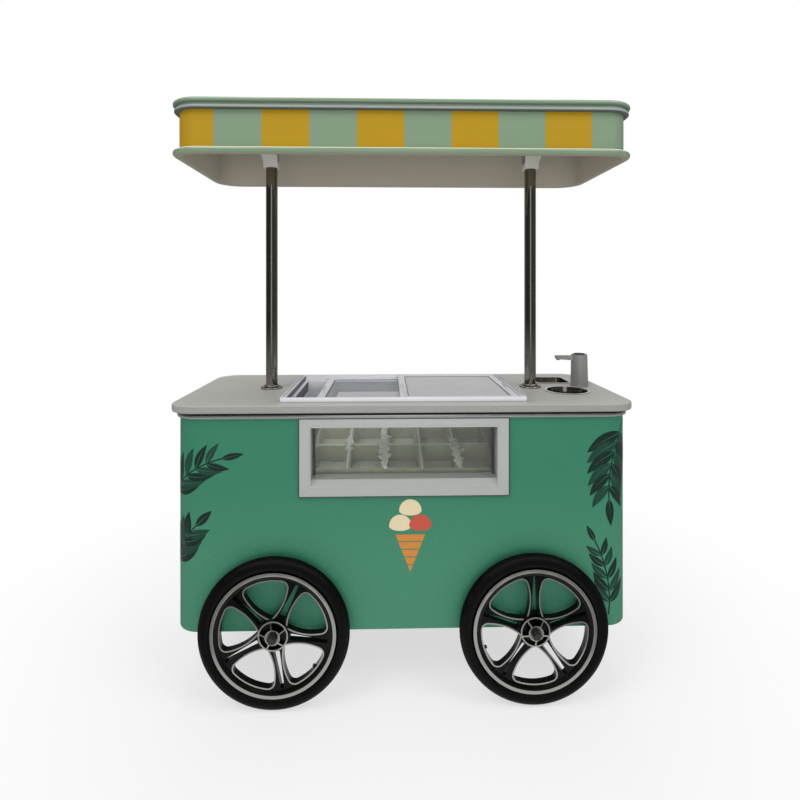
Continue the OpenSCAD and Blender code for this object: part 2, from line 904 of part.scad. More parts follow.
module condenser() {
    count = floor((cond_len - 2 * cond_plate_t) / (fin_t + fin_gap));
    pitch = (cond_len - 2 * cond_plate_t) / count;
    mid_z = cond_h / 2;
    arm_in = motor_d / 2 - fan_arm_w;
    arm_out = fan_d / 2 + 2 * fan_clear;
    motor_z = shroud_t - shroud_wall - motor_len / 2;
    color("darkgray") translate([cond_x, cond_y1, floor_z1]) {
        translate([-cond_len / 2, -cond_t, 0]) {
            for (i = [0:count - 1])
                translate([cond_plate_t + (i + 0.5) * pitch - fin_t / 2, 0, 0]) cube([fin_t, cond_t, cond_h]);
            for (x = [0, cond_len - cond_plate_t]) translate([x, 0, 0]) cube([cond_plate_t, cond_t, cond_h]);
            for (i = [0:cond_tube_rows - 1], y = [cond_t / 3, 2 * cond_t / 3])
                translate([0, y, (i + 0.5) * cond_h / cond_tube_rows]) rotate([0, 90, 0])
                    cylinder(d = cond_tube_d, h = cond_len);
        }
        // Shroud with its round mouth
        difference() {
            translate([-cond_len / 2, 0, 0]) cube([cond_len, shroud_t, cond_h]);
            translate([shroud_wall - cond_len / 2, -over, shroud_wall])
                cube([cond_len - 2 * shroud_wall, shroud_t - shroud_wall + over, cond_h - 2 * shroud_wall]);
            translate([0, 0, mid_z]) rotate([-90, 0, 0])
                cylinder(d = fan_d + 2 * fan_clear, h = shroud_t + over);
        }
        // Motor on its arms, and the fan's shaft
        translate([0, 0, mid_z]) rotate([-90, 0, 0]) {
            translate([0, 0, motor_z]) cylinder(d = motor_d, h = motor_len / 2);
            cylinder(d = fan_shaft_d, h = fan_shaft_end());
        }
        for (a = [0:90:270])
            translate([0, shroud_t - shroud_wall, mid_z]) rotate([0, a, 0])
                translate([arm_in, -shroud_wall, -fan_arm_w / 2])
                    cube([arm_out - arm_in, 2 * shroud_wall, fan_arm_w]);
    }
}

function fan_y0() = shroud_t + 2 * shroud_wall;
function fan_shaft_end() = fan_y0() + fan_hub_t + fan_shaft_d;

module fan() {
    blade_len = fan_d / 2 - fan_hub_d / 2;
    blade_at = fan_d / 4 + fan_hub_d / 4 - fan_blade_t;
    color("black") translate([cond_x, cond_y1 + fan_y0(), floor_z1 + cond_h / 2]) rotate([-90, 0, 0])
        difference() {
            union() {
                cylinder(d = fan_hub_d, h = fan_hub_t);
                for (i = [0:fan_blades - 1]) rotate(i * 360 / fan_blades)
                    translate([blade_at, 0, fan_hub_t / 2]) rotate([fan_pitch, 0, 0])
                        cube([blade_len, fan_blade_w, fan_blade_t], center = true);
            }
            translate([0, 0, -over]) cylinder(d = fan_shaft_d + 2 * run_fit, h = fan_hub_t + 2 * over);
        }
}

module vent_grille() {
    inner_len = vent_len - 2 * vent_frame;
    inner_h = vent_h - 2 * vent_frame;
    count = floor(inner_h / vent_pitch);
    color("silver") translate([0, -front_y, vent_z0]) {
        difference() {
            translate([-vent_len / 2, 0, 0]) cube([vent_len, vent_t, vent_h]);
            translate([-inner_len / 2, -over, vent_frame]) cube([inner_len, vent_t + 2 * over, inner_h]);
        }
        // Slats
        for (i = [0:count - 1])
            translate([0, vent_t / 2, vent_frame + (i + 0.5) * inner_h / count])
                rotate([vent_slat_tilt, 0, 0])
                    cube([inner_len + vent_slat_t, vent_slat_w, vent_slat_t], center = true);
    }
}

module control_panel() {
    color("dimgray") translate([0, -front_y, panel_z0]) difference() {
        translate([0, panel_t, 0]) rotate([90, 0, 0])
            linear_extrude(panel_t) rrect(panel_len, panel_h, panel_r);
        // Display, keys and power inlet
        translate([-display_len / 2, panel_t - display_deep, 0]) cube([display_len, over, display_h]);
        for (i = [0:key_count - 1])
            translate([display_len / 2 + key_d + i * key_pitch, panel_t - key_deep, display_h / 2])
                rotate([-90, 0, 0]) cylinder(d = key_d, h = over);
        translate([panel_r - panel_len / 2, panel_t - inlet_deep, -inlet_h - panel_r / 2])
            cube([inlet_len, 2 * over, inlet_h]);
    }
}

// Rear doors

// Builds on the right, or mirrored on the left
module on_side(s) {
    if (s < 0) mirror([1, 0, 0]) children();
    else children();
}

module hinge_places() {
    for (z = [door_z0 + hinge_inset, door_z0 + door_h - hinge_inset])
        translate([hinge_x, hinge_y, z - hinge_h / 2]) children();
}

module hinge_bases() {
    third = hinge_h / 3;
    leaf_y = -hinge_y - front_y;
    color("silver") for (s = [-1, 1]) on_side(s) hinge_places() {
        for (z = [0, 2 * third]) {
            translate([0, 0, z]) cylinder(d = hinge_d, h = third);
            translate([-hinge_leaf, leaf_y, z]) cube([hinge_leaf - door_gap / 2, hinge_leaf_t, third]);
        }
        translate([-hinge_leaf, leaf_y, 0])
            cube([hinge_leaf - hinge_d / 2 - 2 * knuckle_gap, hinge_leaf_t, hinge_h]);
        cylinder(d = hinge_pin_d, h = hinge_h);
    }
}

module door(s) {
    third = hinge_h / 3;
    face_y = -front_y;
    leaf_y = -hinge_y - front_y;
    on_side(s) {
        difference() {
            block([door_x0, face_y - door_t, door_z0], [door_x0 + door_w, face_y, door_z0 + door_h]);
            block([door_x0 + door_sheet, face_y - door_t - over, door_z0 + door_sheet],
                [door_x0 + door_w - door_sheet, face_y - door_sheet, door_z0 + door_h - door_sheet]);
        }
        hinge_places() difference() {
            translate([0, 0, third + knuckle_gap]) {
                cylinder(d = hinge_d, h = third - 2 * knuckle_gap);
                translate([door_gap / 2, leaf_y, 0])
                    cube([hinge_leaf, hinge_leaf_t, third - 2 * knuckle_gap]);
            }
            translate([0, 0, -over]) cylinder(d = hinge_pin_d + 2 * run_fit, h = hinge_h + 2 * over);
        }
    }
}

module door_left() {
    color("seagreen") door(-1);
}

module door_right() {
    color("seagreen") door(1);
}

module door_handle(s) {
    on_side(s) translate([door_x0 + door_w - handle_inset, -front_y, door_z0 + door_h / 2]) {
        for (z = [-handle_len / 2, handle_len / 2])
            translate([0, 0, z]) rotate([-90, 0, 0]) cylinder(d = handle_bar, h = handle_off);
        translate([0, handle_off, -handle_len / 2]) cylinder(d = handle_bar, h = handle_len);
        for (z = [-handle_len / 2, handle_len / 2]) translate([0, handle_off, z]) sphere(d = handle_bar);
    }
}

module door_left_handle() {
    color("silver") door_handle(-1);
}

module door_right_handle() {
    color("silver") door_handle(1);
}

// Wash station

module basin() {
    bowl_d = basin_d - 2 * basin_rim_w;
    color("silver") translate([basin_x, basin_y, counter_h - basin_deep]) difference() {
        union() {
            rotate_extrude() half_profile(bowl_d, basin_deep + basin_bend, basin_bend);
            translate([0, 0, basin_deep]) cylinder(d = basin_d, h = basin_rim_t);
        }
        translate([0, 0, basin_wall]) rotate_extrude()
            half_profile(bowl_d - 2 * basin_wall, basin_deep + 2 * basin_bend, basin_bend - basin_wall);
        translate([0, 0, basin_deep + basin_rim_t]) cylinder(d = basin_d, h = 2 * basin_bend);
        translate([0, 0, -over]) cylinder(d = drain_pipe_d + 2 * fit, h = basin_deep);
    }
}

function drain_top() = counter_h - basin_deep + basin_wall;
function tank_top() = floor_z1 + tank_h;

module basin_drain() {
    pipe_h = drain_top() - tank_top() + drain_wall;
    color("gray") translate([basin_x, basin_y, 0]) difference() {
        union() {
            translate([0, 0, drain_top()]) cylinder(d = drain_d, h = drain_wall);
            translate([0, 0, tank_top()]) cylinder(d = drain_pipe_d, h = pipe_h);
            translate([0, 0, drain_top() - basin_wall - drain_nut_h]) cylinder(d = drain_d, h = drain_nut_h);
        }
        translate([0, 0, tank_top() - over]) cylinder(d = drain_pipe_d - 2 * drain_wall, h = counter_h);
    }
}

module waste_tank() {
    color("whitesmoke") translate([basin_x, basin_y, floor_z1]) difference() {
        union() {
            rslab(tank_len, tank_dep, tank_r, 0, tank_h - tank_neck_h);
            cylinder(d = tank_neck_d, h = tank_h + tank_neck_h / 2);
        }
        rslab(tank_len - 2 * tank_wall, tank_dep - 2 * tank_wall, tank_r - tank_wall, tank_wall,
            tank_h - tank_neck_h - tank_wall);
        translate([0, 0, tank_wall]) cylinder(d = drain_pipe_d + 2 * fit, h = tank_h + tank_neck_h);
    }
}

module fresh_bottle() {
    color("aliceblue") translate([basin_x, bottle_y, floor_z1]) {
        difference() {
            union() {
                rotate_extrude() half_profile(bottle_d, bottle_h, basin_bend);
                cylinder(d = bottle_neck_d, h = bottle_h + bottle_neck_h);
            }
            translate([0, 0, tank_wall]) rotate_extrude()
                half_profile(bottle_d - 2 * tank_wall, bottle_h - 2 * tank_wall, basin_bend - tank_wall);
            translate([0, 0, bottle_h / 2])
                cylinder(d = bottle_neck_d - 2 * tank_wall, h = bottle_h / 2 + bottle_neck_h + over);
        }
        translate([0, 0, bottle_h + bottle_neck_h])
            cylinder(d = bottle_neck_d + 2 * bottle_cap_step, h = bottle_cap_h);
    }
}

module utensil_pan() {
    l = utensil_len - 2 * utensil_rim_w;
    w = utensil_dep - 2 * utensil_rim_w;
    color("silver") translate([basin_x, utensil_back, counter_h]) difference() {
        union() {
            rslab(utensil_len, utensil_dep, utensil_r, 0, basin_rim_t);
            rslab(l, w, utensil_r, -utensil_deep, basin_rim_t);
        }
        rslab(l - 2 * basin_wall, w - 2 * basin_wall, utensil_r - basin_wall,
            basin_wall - utensil_deep, basin_rim_t + over);
    }
}

module tap_base() {
    color("white") translate([tap_x, tap_back, 0]) {
        translate([0, 0, counter_h]) cylinder(d = tap_base_d, h = tap_base_h);
        translate([0, 0, counter_h + tap_base_h]) cylinder(d = tap_pin_d, h = tap_top_h);
        translate([0, 0, counter_z0 - tap_stem_len]) cylinder(d = tap_stem_d, h = tap_stem_len + counter_t);
        translate([0, 0, counter_z0 - tap_nut_h]) cylinder(d = tap_nut_d, h = tap_nut_h, $fn = 6);
    }
}

module tap_head() {
    z0 = counter_h + tap_base_h + fit;
    z1 = counter_h + tap_h - button_proud;
    top_z = z1 - spout_drop;
    end_x = -tap_d / 2 - spout_reach;
    tip_x = end_x + spout_w / 2;
    nozzle_z = top_z - spout_tip_h - nozzle_h / 2;
    pocket = button_h + button_travel;
    color("white") translate([tap_x, tap_back, 0]) difference() {
        union() {
            rotate_extrude() polygon([[0, z0], [tap_d / 2 + tap_flare, z0], [tap_d / 2, z1], [0, z1]]);
            // Spout, thinner towards its slanted, round end over the nozzle
            intersection() {
                rotate([90, 0, 0]) linear_extrude(spout_w, center = true)
                    polygon([[0, top_z - spout_h], [end_x + spout_slant, top_z - spout_tip_h],
                        [end_x, top_z - spout_slant], [end_x, top_z], [0, top_z]]);
                translate([0, 0, z0]) linear_extrude(z1 - z0) {
                    translate([tip_x, -spout_w / 2]) square([-tip_x, spout_w]);
                    translate([tip_x, 0]) circle(d = spout_w);
                }
            }
            translate([tip_x, 0, nozzle_z]) cylinder(d = nozzle_d, h = nozzle_h);
        }
        translate([0, 0, z0 - over]) cylinder(d = tap_pin_d + 2 * run_fit, h = over + tap_top_h + fit);
        translate([0, 0, z1 - pocket]) cylinder(d = button_d + 2 * fit, h = pocket + over);
        translate([tip_x, 0, nozzle_z - over]) cylinder(d = nozzle_d / 2, h = nozzle_h + over);
    }
}

module tap_button() {
    h = button_h + button_proud;
    color("dimgray") translate([tap_x, tap_back, counter_h + tap_h - h]) cylinder(d = button_d, h = h);
}

// Poles

module pole(s) {
    z0 = socket_z0 + socket_floor;
    translate([s * pole_x, 0, z0]) difference() {
        cylinder(d = pole_d, h = head_z1 - z0);
        translate([0, 0, -over]) cylinder(d = pole_d - 2 * pole_wall, h = head_z1 - z0 + 2 * over);
    }
}

module pole_left() {
    color("silver") pole(-1);
}

module pole_right() {
    color("silver") pole(1);
}

module pole_flanges() {
    color("silver") for (s = [-1, 1]) translate([s * pole_x, 0, counter_h]) difference() {
        union() {
            cylinder(d = flange_d, h = flange_base_h - flange_round);
            translate([0, 0, flange_base_h - flange_round]) rotate_extrude()
                translate([flange_d / 2 - flange_round, 0]) circle(r = flange_round);
            cylinder(d = flange_d - 2 * flange_round, h = flange_base_h);
            rotate_extrude() half_profile(flange_neck_d, flange_h, flange_round);
        }
        translate([0, 0, -over]) cylinder(d = pole_d + fit, h = flange_h + 2 * over);
    }
}

module pole_sockets() {
    screw_at = socket_plate / 2 - 2 * screw_d;
    color("dimgray") for (s = [-1, 1]) translate([s * pole_x, 0, socket_z0]) difference() {
        union() {
            cylinder(d = pole_d + 2 * socket_wall + fit, h = socket_depth);
            rslab(socket_plate, socket_plate, screw_d, socket_depth - socket_plate_t, socket_depth);
        }
        translate([0, 0, socket_floor]) cylinder(d = pole_d + fit, h = socket_depth);
        for (sx = [-1, 1], sy = [-1, 1])
            translate([sx * screw_at, sy * screw_at, socket_depth - socket_plate_t - over])
                cylinder(d = screw_d, h = socket_plate_t + 2 * over);
    }
}

// Flared shape from x0 to x1: the x1 side upright, the other three leaning out
module flare(x0, x1, half_y, h) {
    top_y = half_y + head_flare_y;
    intersection() {
        rotate([90, 0, 0]) linear_extrude(2 * top_y, center = true)
            polygon([[x0, 0], [x1, 0], [x1, h], [x0 - head_flare_x, h]]);
        translate([x0 - head_flare_x, 0, 0]) rotate([90, 0, 90]) linear_extrude(x1 - x0 + head_flare_x)
            polygon([[-half_y, 0], [half_y, 0], [top_y, h], [-top_y, h]]);
    }
}

module pole_heads() {
    flare_h = head_z1 - head_z0 - head_collar_h;
    color("white") for (s = [-1, 1]) on_side(-s) translate([-pole_x, 0, head_z0]) difference() {
        union() {
            translate([-head_half, -head_half, 0]) cube([2 * head_half, 2 * head_half, head_collar_h]);
            translate([0, 0, head_collar_h]) flare(-head_half, head_half, head_half, flare_h);
            translate([-head_half - head_flare_x, -head_half - head_flare_y, head_collar_h + flare_h])
                cube([2 * head_half + head_flare_x, 2 * (head_half + head_flare_y), head_plate_t]);
        }
        // Hollow, open towards the cart's middle
        translate([0, 0, head_collar_h])
            flare(head_wall - head_half, head_half + over, head_half - head_wall, flare_h);
        translate([0, 0, -over]) cylinder(d = pole_d + fit, h = head_collar_h + 2 * over);
    }
}

// Canopy

module canopy_beams() {
    color("tan") for (s = [-1, 1])
        translate([0, s * beam_gap, beam_z0 + beam_h / 2])
            cube([fascia_len - 2 * fascia_t, beam_w, beam_h], center = true);
}

module canopy_board() {
    color("honeydew")
        soft_slab(canopy_len, canopy_depth, canopy_r, ceiling_z, ceiling_z + board_t, board_t / 2);
}

// Half-round bead, with the plain strip of the groove above it
module canopy_cornice() {
    in_x = fascia_r - fascia_t;
    color("gray") translate([0, 0, fascia_z1]) swept(canopy_len, canopy_depth, canopy_r) {
        edge_profile(in_x, canopy_r - cornice_inset, cornice_h, cornice_h / 2);
        translate([in_x, cornice_h - over]) square([canopy_r - groove_inset - in_x, groove_h + over]);
    }
}

module canopy_fascia() {
    color("khaki") translate([0, 0, fascia_z0 - lip_seat]) linear_extrude(fascia_h + lip_seat)
        rring(fascia_len, fascia_dep, fascia_r, fascia_t);
}

module canopy_lip() {
    in_x = fascia_r - fascia_t;
    color("honeydew") translate([0, 0, canopy_z]) swept(canopy_len, canopy_depth, canopy_r) difference() {
        edge_profile(in_x, canopy_r, lip_h, lip_h / 2);
        translate([in_x - over, lip_h - lip_seat]) square([fascia_t + over, lip_h]);
    }
}

// Axles and wheels

module axles() {
    end_y = wheel_y + hub_len / 2 - bearing_inset + nut_h + axle_end;
    collar_y1 = wheel_y - hub_len / 2 + bearing_inset;
    collar_y0 = in_dep / 2;
    color("silver") for (s = [-1, 1]) translate([s * wheel_base / 2, 0, axle_z]) rotate([90, 0, 0]) {
        cylinder(d = axle_d, h = 2 * end_y, center = true);
        for (m = [0, 1]) mirror([0, 0, m])
            translate([0, 0, collar_y0]) cylinder(d = collar_d, h = collar_y1 - collar_y0);
    }
}

// Places a wheel's piece, made along +Z, on one corner of the cart
module on_wheel(sx, sy) {
    mirror([0, sy > 0 ? 1 : 0, 0])
        translate([sx * wheel_base / 2, -wheel_y, axle_z]) rotate([90, 0, 0]) children();
}

module axle_nuts() {
    color("dimgray") for (sx = [-1, 1], sy = [-1, 1]) on_wheel(sx, sy)
        translate([0, 0, hub_len / 2 - bearing_inset]) difference() {
            cylinder(d = nut_d, h = nut_h, $fn = 6);
            translate([0, 0, -over]) cylinder(d = axle_d + 2 * run_fit, h = nut_h + 2 * over);
        }
}

module wheel_bearings() {
    color("silver") for (sx = [-1, 1], sy = [-1, 1]) on_wheel(sx, sy)
        for (z = [bearing_inset - hub_len / 2, hub_len / 2 - bearing_inset - bearing_w])
            translate([0, 0, z]) difference() {
                cylinder(d = bearing_d, h = bearing_w);
                translate([0, 0, -over]) cylinder(d = axle_d + 2 * run_fit, h = bearing_w + 2 * over);
            }
}

// Point where a circle of radius ra about a crosses one of rb about b, on the right going from a to b
function crossing(a, ra, b, rb) =
    let (d = norm(b - a), u = (b - a) / d, x = (d * d + ra * ra - rb * rb) / (2 * d))
    a + x * u + sqrt(ra * ra - x * x) * [u[1], -u[0]];

// Moves a point away from a centre by a distance
function away(p, c, d) = p + d * (p - c) / norm(p - c);

// Part of a circle of radius r about c that lies past the line from p to q
module bulge(c, r, p, q) {
    intersection() {
        translate(c) circle(r = r);
        polygon([p, away(p, c, r), away(q, c, r), q]);
    }
}

// One window of the rim, on the +X side, grown by g: a pointed end at the hub and three bulging sides
module rim_window(g) {
    apex = [apex_at, 0];
    corner = (window_out_r - corner_r) * [cos(corner_angle), sin(corner_angle)];
    facing = [corner[0], -corner[1]];
    side = crossing(apex, window_side_r - apex_r, corner, window_side_r - corner_r);
    polygon([apex, facing, corner]);
    translate(apex) circle(r = apex_r + g);
    bulge([0, 0], window_out_r + g - arc_step, facing, corner);
    for (m = [0, 1]) mirror([0, m]) {
        translate(corner) circle(r = corner_r + g);
        bulge(side, window_side_r + g - arc_step, corner, apex);
    }
}

module each_window(a0) {
    for (i = [0:spoke_count - 1]) rotate(a0 + (i + 0.5) * 360 / spoke_count) children();
}

module rim(a0) {
    bed_r = tyre_in_r - fit;
    ring_z = spoke_t / 2 + hub_face_t;
    difference() {
        union() {
            // Spoke disc with windows and slots
            translate([0, 0, -spoke_t / 2]) linear_extrude(spoke_t) difference() {
                circle(r = rim_r - rim_wall + over);
                each_window(a0) rim_window(0);
                for (i = [0:spoke_count - 1]) rotate(a0 + i * 360 / spoke_count)
                    round_outline([[slot_in, -slot_half_in], [slot_out, -slot_half_out],
                        [slot_out, slot_half_out], [slot_in, slot_half_in]], slot_r);
            }
            // Raised beads round the windows
            translate([0, 0, spoke_t / 2]) linear_extrude(bead_h) each_window(a0) difference() {
                rim_window(bead_w);
                rim_window(0);
            }
            // Rim channel with its two flanges
            rotate_extrude() polygon([[rim_r - rim_wall, -rim_half], [rim_r, -rim_half],
                [rim_r, rim_lip - rim_half], [bed_r, 2 * rim_lip - rim_half], [bed_r, rim_half - 2 * rim_lip],
                [rim_r, rim_half - rim_lip], [rim_r, rim_half], [rim_r - ring_w, rim_half],
                [rim_r - rim_wall, rim_half - rim_lip]]);
            // Hub barrel at the back, boss and ring in front
            translate([0, 0, -hub_len / 2]) cylinder(r = hub_r, h = hub_len / 2);
            cylinder(r = boss_r, h = hub_len / 2);
            rotate_extrude() translate([hub_face_r - hub_ring_wall, 0]) {
                square([hub_ring_wall, ring_z]);
                translate([hub_ring_wall - bead_w, 0]) square([bead_w, ring_z + bead_h]);
            }
            // Ribs that climb from the ring to the boss
            each_window(a0) rotate([90, 0, 0]) linear_extrude(bead_w, center = true)
                polygon([[boss_r - boss_wall / 2, 0], [hub_face_r - bead_w / 2, 0],
                    [hub_face_r - bead_w / 2, ring_z], [boss_r - boss_wall / 2, hub_len / 2]]);
        }
        cylinder(d = bearing_d + 2 * run_fit, h = hub_len + 2 * over, center = true);
    }
}

module tyre() {
    r_mid = wheel_d / 2 - tyre_w / 2;
    bed_half = rim_half - 2 * rim_lip;
    color("black") rotate_extrude() difference() {
        union() {
            translate([r_mid, 0]) circle(d = tyre_w);
            translate([tyre_in_r, -bed_half]) square([r_mid - tyre_in_r, 2 * bed_half]);
        }
        square([2 * tyre_in_r, 2 * tyre_w], center = true);
        // Clear of the rim flanges
        for (s = [-1, 1]) translate([0, s * (rim_half - rim_lip / 2)])
            square([2 * (rim_r + fit), 3 * rim_lip], center = true);
        // Tread grooves
        for (a = tread_angles) translate([r_mid, 0]) rotate(a)
            translate([tyre_w / 2, 0]) square(tread_groove, center = true);
    }
}

module rim_fl() {
    color("black") on_wheel(-1, -1) rim(left_spoke_angle);
}

module rim_fr() {
    color("black") on_wheel(1, -1) rim(right_spoke_angle);
}

module rim_rl() {
    color("black") on_wheel(-1, 1) rim(left_spoke_angle);
}

module rim_rr() {
    color("black") on_wheel(1, 1) rim(right_spoke_angle);
}

module tyre_fl() {
    on_wheel(-1, -1) tyre();
}

module tyre_fr() {
    on_wheel(1, -1) tyre();
}

module tyre_rl() {
    on_wheel(-1, 1) tyre();
}

module tyre_rr() {
    on_wheel(1, 1) tyre();
}

base_frame();
upper_frame();
floor_panel();
skin_front();
skin_back();
skin_left();
skin_right();
top_trim();
counter_gasket();
countertop();
window_frame();
window_panes();
freezer_casing();
freezer_liner();
pan_rack();
pans();
lid_track();
lid_left();
lid_left_glass();
lid_right();
lid_right_glass();
compressor();
condenser();
fan();
vent_grille();
control_panel();
hinge_bases();
door_left();
door_right();
door_left_handle();
door_right_handle();
basin();
basin_drain();
utensil_pan();
waste_tank();
fresh_bottle();
tap_base();
tap_head();
tap_button();
pole_left();
pole_right();
pole_flanges();
pole_sockets();
pole_heads();
canopy_beams();
canopy_board();
canopy_cornice();
canopy_fascia();
canopy_lip();
axles();
axle_nuts();
wheel_bearings();
rim_fl();
rim_fr();
rim_rl();
rim_rr();
tyre_fl();
tyre_fr();
tyre_rl();
tyre_rr();
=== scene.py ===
import json
import math
import random

import bmesh
import bpy
from mathutils import Matrix, Vector, noise


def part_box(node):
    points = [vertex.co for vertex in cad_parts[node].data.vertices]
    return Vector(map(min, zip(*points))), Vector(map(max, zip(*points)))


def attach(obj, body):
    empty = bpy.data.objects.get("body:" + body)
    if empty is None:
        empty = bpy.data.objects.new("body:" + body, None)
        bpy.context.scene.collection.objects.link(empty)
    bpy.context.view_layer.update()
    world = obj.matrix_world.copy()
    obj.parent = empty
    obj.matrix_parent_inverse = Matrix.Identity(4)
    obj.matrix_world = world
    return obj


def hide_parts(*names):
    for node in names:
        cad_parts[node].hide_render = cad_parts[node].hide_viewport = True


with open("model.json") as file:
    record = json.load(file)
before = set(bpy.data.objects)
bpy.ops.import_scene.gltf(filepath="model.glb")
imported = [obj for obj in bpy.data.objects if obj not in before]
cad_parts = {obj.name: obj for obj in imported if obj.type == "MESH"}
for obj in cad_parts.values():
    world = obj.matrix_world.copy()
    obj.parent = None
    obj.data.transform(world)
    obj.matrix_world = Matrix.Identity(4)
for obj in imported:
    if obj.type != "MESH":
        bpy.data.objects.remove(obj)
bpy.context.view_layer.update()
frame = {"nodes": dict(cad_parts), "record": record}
scene = bpy.context.scene
scene.view_settings.view_transform = "Standard"

BODY_OF = {node: body for body, members in frame["record"]["behaviour"]["bodies"].items() for node in members}
SLOT_OF = {part["node"]: part["material_slot"] for part in frame["record"]["subparts"]}

MM = 0.001
CORNER_RADIUS = 83 * MM
AXLE_X = 432 * MM
AXLE_Z = 250 * MM
WHEEL_Y = 346 * MM
RACK_MIDDLE = Vector((0, -30 * MM, 775 * MM))
RACK_TILT = math.radians(11)


def paint(red, green, blue):
    """A colour as it is read off a screen, for a shader."""
    def linear(byte):
        share = byte / 255
        return share / 12.92 if share <= 0.04045 else ((share + 0.055) / 1.055) ** 2.4
    return (linear(red), linear(green), linear(blue), 1.0)


def toned(colour, share):
    """The same colour, darker or lighter."""
    return tuple(min(part * share, 1.0) for part in colour[:3]) + (1.0,)


# Shader sums

class Value:
    """A socket in a finish, with the sums that the finishes use."""

    def __init__(self, finish, socket):
        self.finish = finish
        self.socket = socket

    def sum(self, operation, *others):
        """One Math node on this value."""
        return self.finish.node("ShaderNodeMath", {"operation": operation}, [self, *others])

    def __add__(self, other):
        return self.sum("ADD", other)

    def __sub__(self, other):
        return self.sum("SUBTRACT", other)

    def __mul__(self, other):
        return self.sum("MULTIPLY", other)

    def __rsub__(self, other):
        return self.finish.node("ShaderNodeMath", {"operation": "SUBTRACT"}, [other, self])

    def __lt__(self, other):
        return self.sum("LESS_THAN", other)

    def __abs__(self):
        return self.sum("ABSOLUTE")

    __radd__ = __add__
    __rmul__ = __mul__

    def ease(self, low, high):
        """0 below low, 1 above high, smooth between."""
        return self.finish.node("ShaderNodeMapRange", {"interpolation_type": "SMOOTHSTEP"},
                                {"Value": self, "From Min": low, "From Max": high})


class Finish:
    """A material of the cart, or the world, and the nodes that make it."""

    def __init__(self, name, owner=None):
        self.name = name
        self.owner = owner or bpy.data.materials.new(name)
        self.owner.use_nodes = True
        self.tree = self.owner.node_tree
        self.tree.nodes.clear()

    def node(self, kind, settings=None, sockets=(), output=0):
        """Any node: its settings first, then the values or links of its sockets."""
        made = self.tree.nodes.new(kind)
        for name, value in (settings or {}).items():
            setattr(made, name, value)
        for key, value in sockets.items() if isinstance(sockets, dict) else enumerate(sockets):
            if isinstance(value, Value):
                self.tree.links.new(value.socket, made.inputs[key])
            else:
                made.inputs[key].default_value = value
        return Value(self, made.outputs[output])

    def place(self):
        """Where a point is on the cart at rest."""
        return self.node("ShaderNodeTexCoord", output="Object")

    def axes(self):
        """Where a point is, along X, Y and Z."""
        split = self.node("ShaderNodeSeparateXYZ", sockets=[self.place()])
        return [Value(self, socket) for socket in split.socket.node.outputs]

    def noise(self, scale, detail=2.0, stretch=(1, 1, 1)):
        """Cloudy noise, drawn out along an axis where its stretch is small."""
        spot = self.node("ShaderNodeVectorMath", {"operation": "MULTIPLY"}, [self.place(), stretch])
        sockets = {"Vector": spot, "Scale": scale, "Detail": detail}
        return self.node("ShaderNodeTexNoise", sockets=sockets)

    def cells(self, scale):
        """Distance to the nearest of many scattered points."""
        return self.node("ShaderNodeTexVoronoi", sockets={"Vector": self.place(), "Scale": scale})

    def mix(self, share, first, second):
        """A colour between two colours."""
        return self.node("ShaderNodeMix", {"data_type": "RGBA"}, {0: share, 6: first, 7: second}, output=2)

    def bump(self, height, strength, distance):
        """A normal that follows a height."""
        sockets = {"Height": height, "Strength": strength, "Distance": distance}
        return self.node("ShaderNodeBump", sockets=sockets)

    def shader(self, **sockets):
        """The surface itself, its sockets named in words joined by underscores."""
        names = {key.replace("_", " ").title().replace("Ior", "IOR"): value for key, value in sockets.items()}
        return self.node("ShaderNodeBsdfPrincipled", sockets=names)

    def show(self, shader, kind="ShaderNodeOutputMaterial"):
        """Ends the finish with its output."""
        made = self.tree.nodes.new(kind)
        self.tree.links.new(shader.socket, made.inputs["Surface"])
        return self


# Finishes

def painted(name, colour, roughness=0.4, gloss=0.4, mottle=0.05, peel=0.05, dust_and_light_top=None, marks=None):
    """Sprayed or coated sheet: slight cloudiness, orange peel, and a lighter green towards the ground that is
    partly dust and partly painted light.
    """
    finish = Finish(name)
    cloud = finish.noise(5, 3) * 0.6 + finish.noise(60, 2) * 0.4
    skin = finish.mix(cloud, toned(colour, 1 - mottle), toned(colour, 1 + mottle))
    rough = roughness + (finish.noise(35, 4) - 0.5) * 0.16
    if dust_and_light_top is not None:
        # Painted light, partly dust: towards the ground the sheet turns a lighter green, which brightens the
        # low part of the body.
        fade, dust_and_light_colour = 400 * MM, paint(112, 172, 144)
        low = 1 - finish.axes()[2].ease(dust_and_light_top - fade, dust_and_light_top)
        dust = low * (0.12 + finish.noise(160, 6).ease(0.4, 0.8) * 0.1)
        skin = finish.mix(dust, skin, dust_and_light_colour)
        rough = rough + dust * 0.5
    if marks is not None:
        skin = finish.mix(marks(finish), skin, toned(colour, 0.35))
    peeled = finish.bump(finish.noise(420, 1), peel, 0.4 * MM)
    return finish.show(finish.shader(base_color=skin, roughness=rough, normal=peeled,
                                     specular_ior_level=gloss))


def mitre_seams(finish):
    """A fine line across each corner of the window frame, where its four profiles meet."""
    x, _, z = finish.axes()
    half_wide, low, high = 354.5 * MM, 684.7 * MM, 947.7 * MM
    side, top, band, line = 38 * MM, 31 * MM, 35 * MM, 0.5 * MM
    across = half_wide - abs(x)
    lines = []
    for up, end in ((high - z, top), (z - low, band)):
        off = abs(across * end - up * side) * (1 / math.hypot(side, end))
        lines.append((off < line) * (across < side))
    return (lines[0] + lines[1]) * 0.35


def steel(name, colour, roughness, grain, depth=0.12, metal=1.0):
    """Bare metal with a fine grain along one axis and a few smears."""
    finish = Finish(name)
    lines = finish.noise(900, 1, grain)
    smear = finish.noise(9, 4)
    skin = finish.mix(lines * 0.5 + smear * 0.5, toned(colour, 0.9), toned(colour, 1.08))
    rough = roughness + (lines - 0.5) * depth + (smear - 0.5) * depth
    combed = finish.bump(lines, 0.06, 0.1 * MM)
    return finish.show(finish.shader(base_color=skin, metallic=metal, roughness=rough, normal=combed))


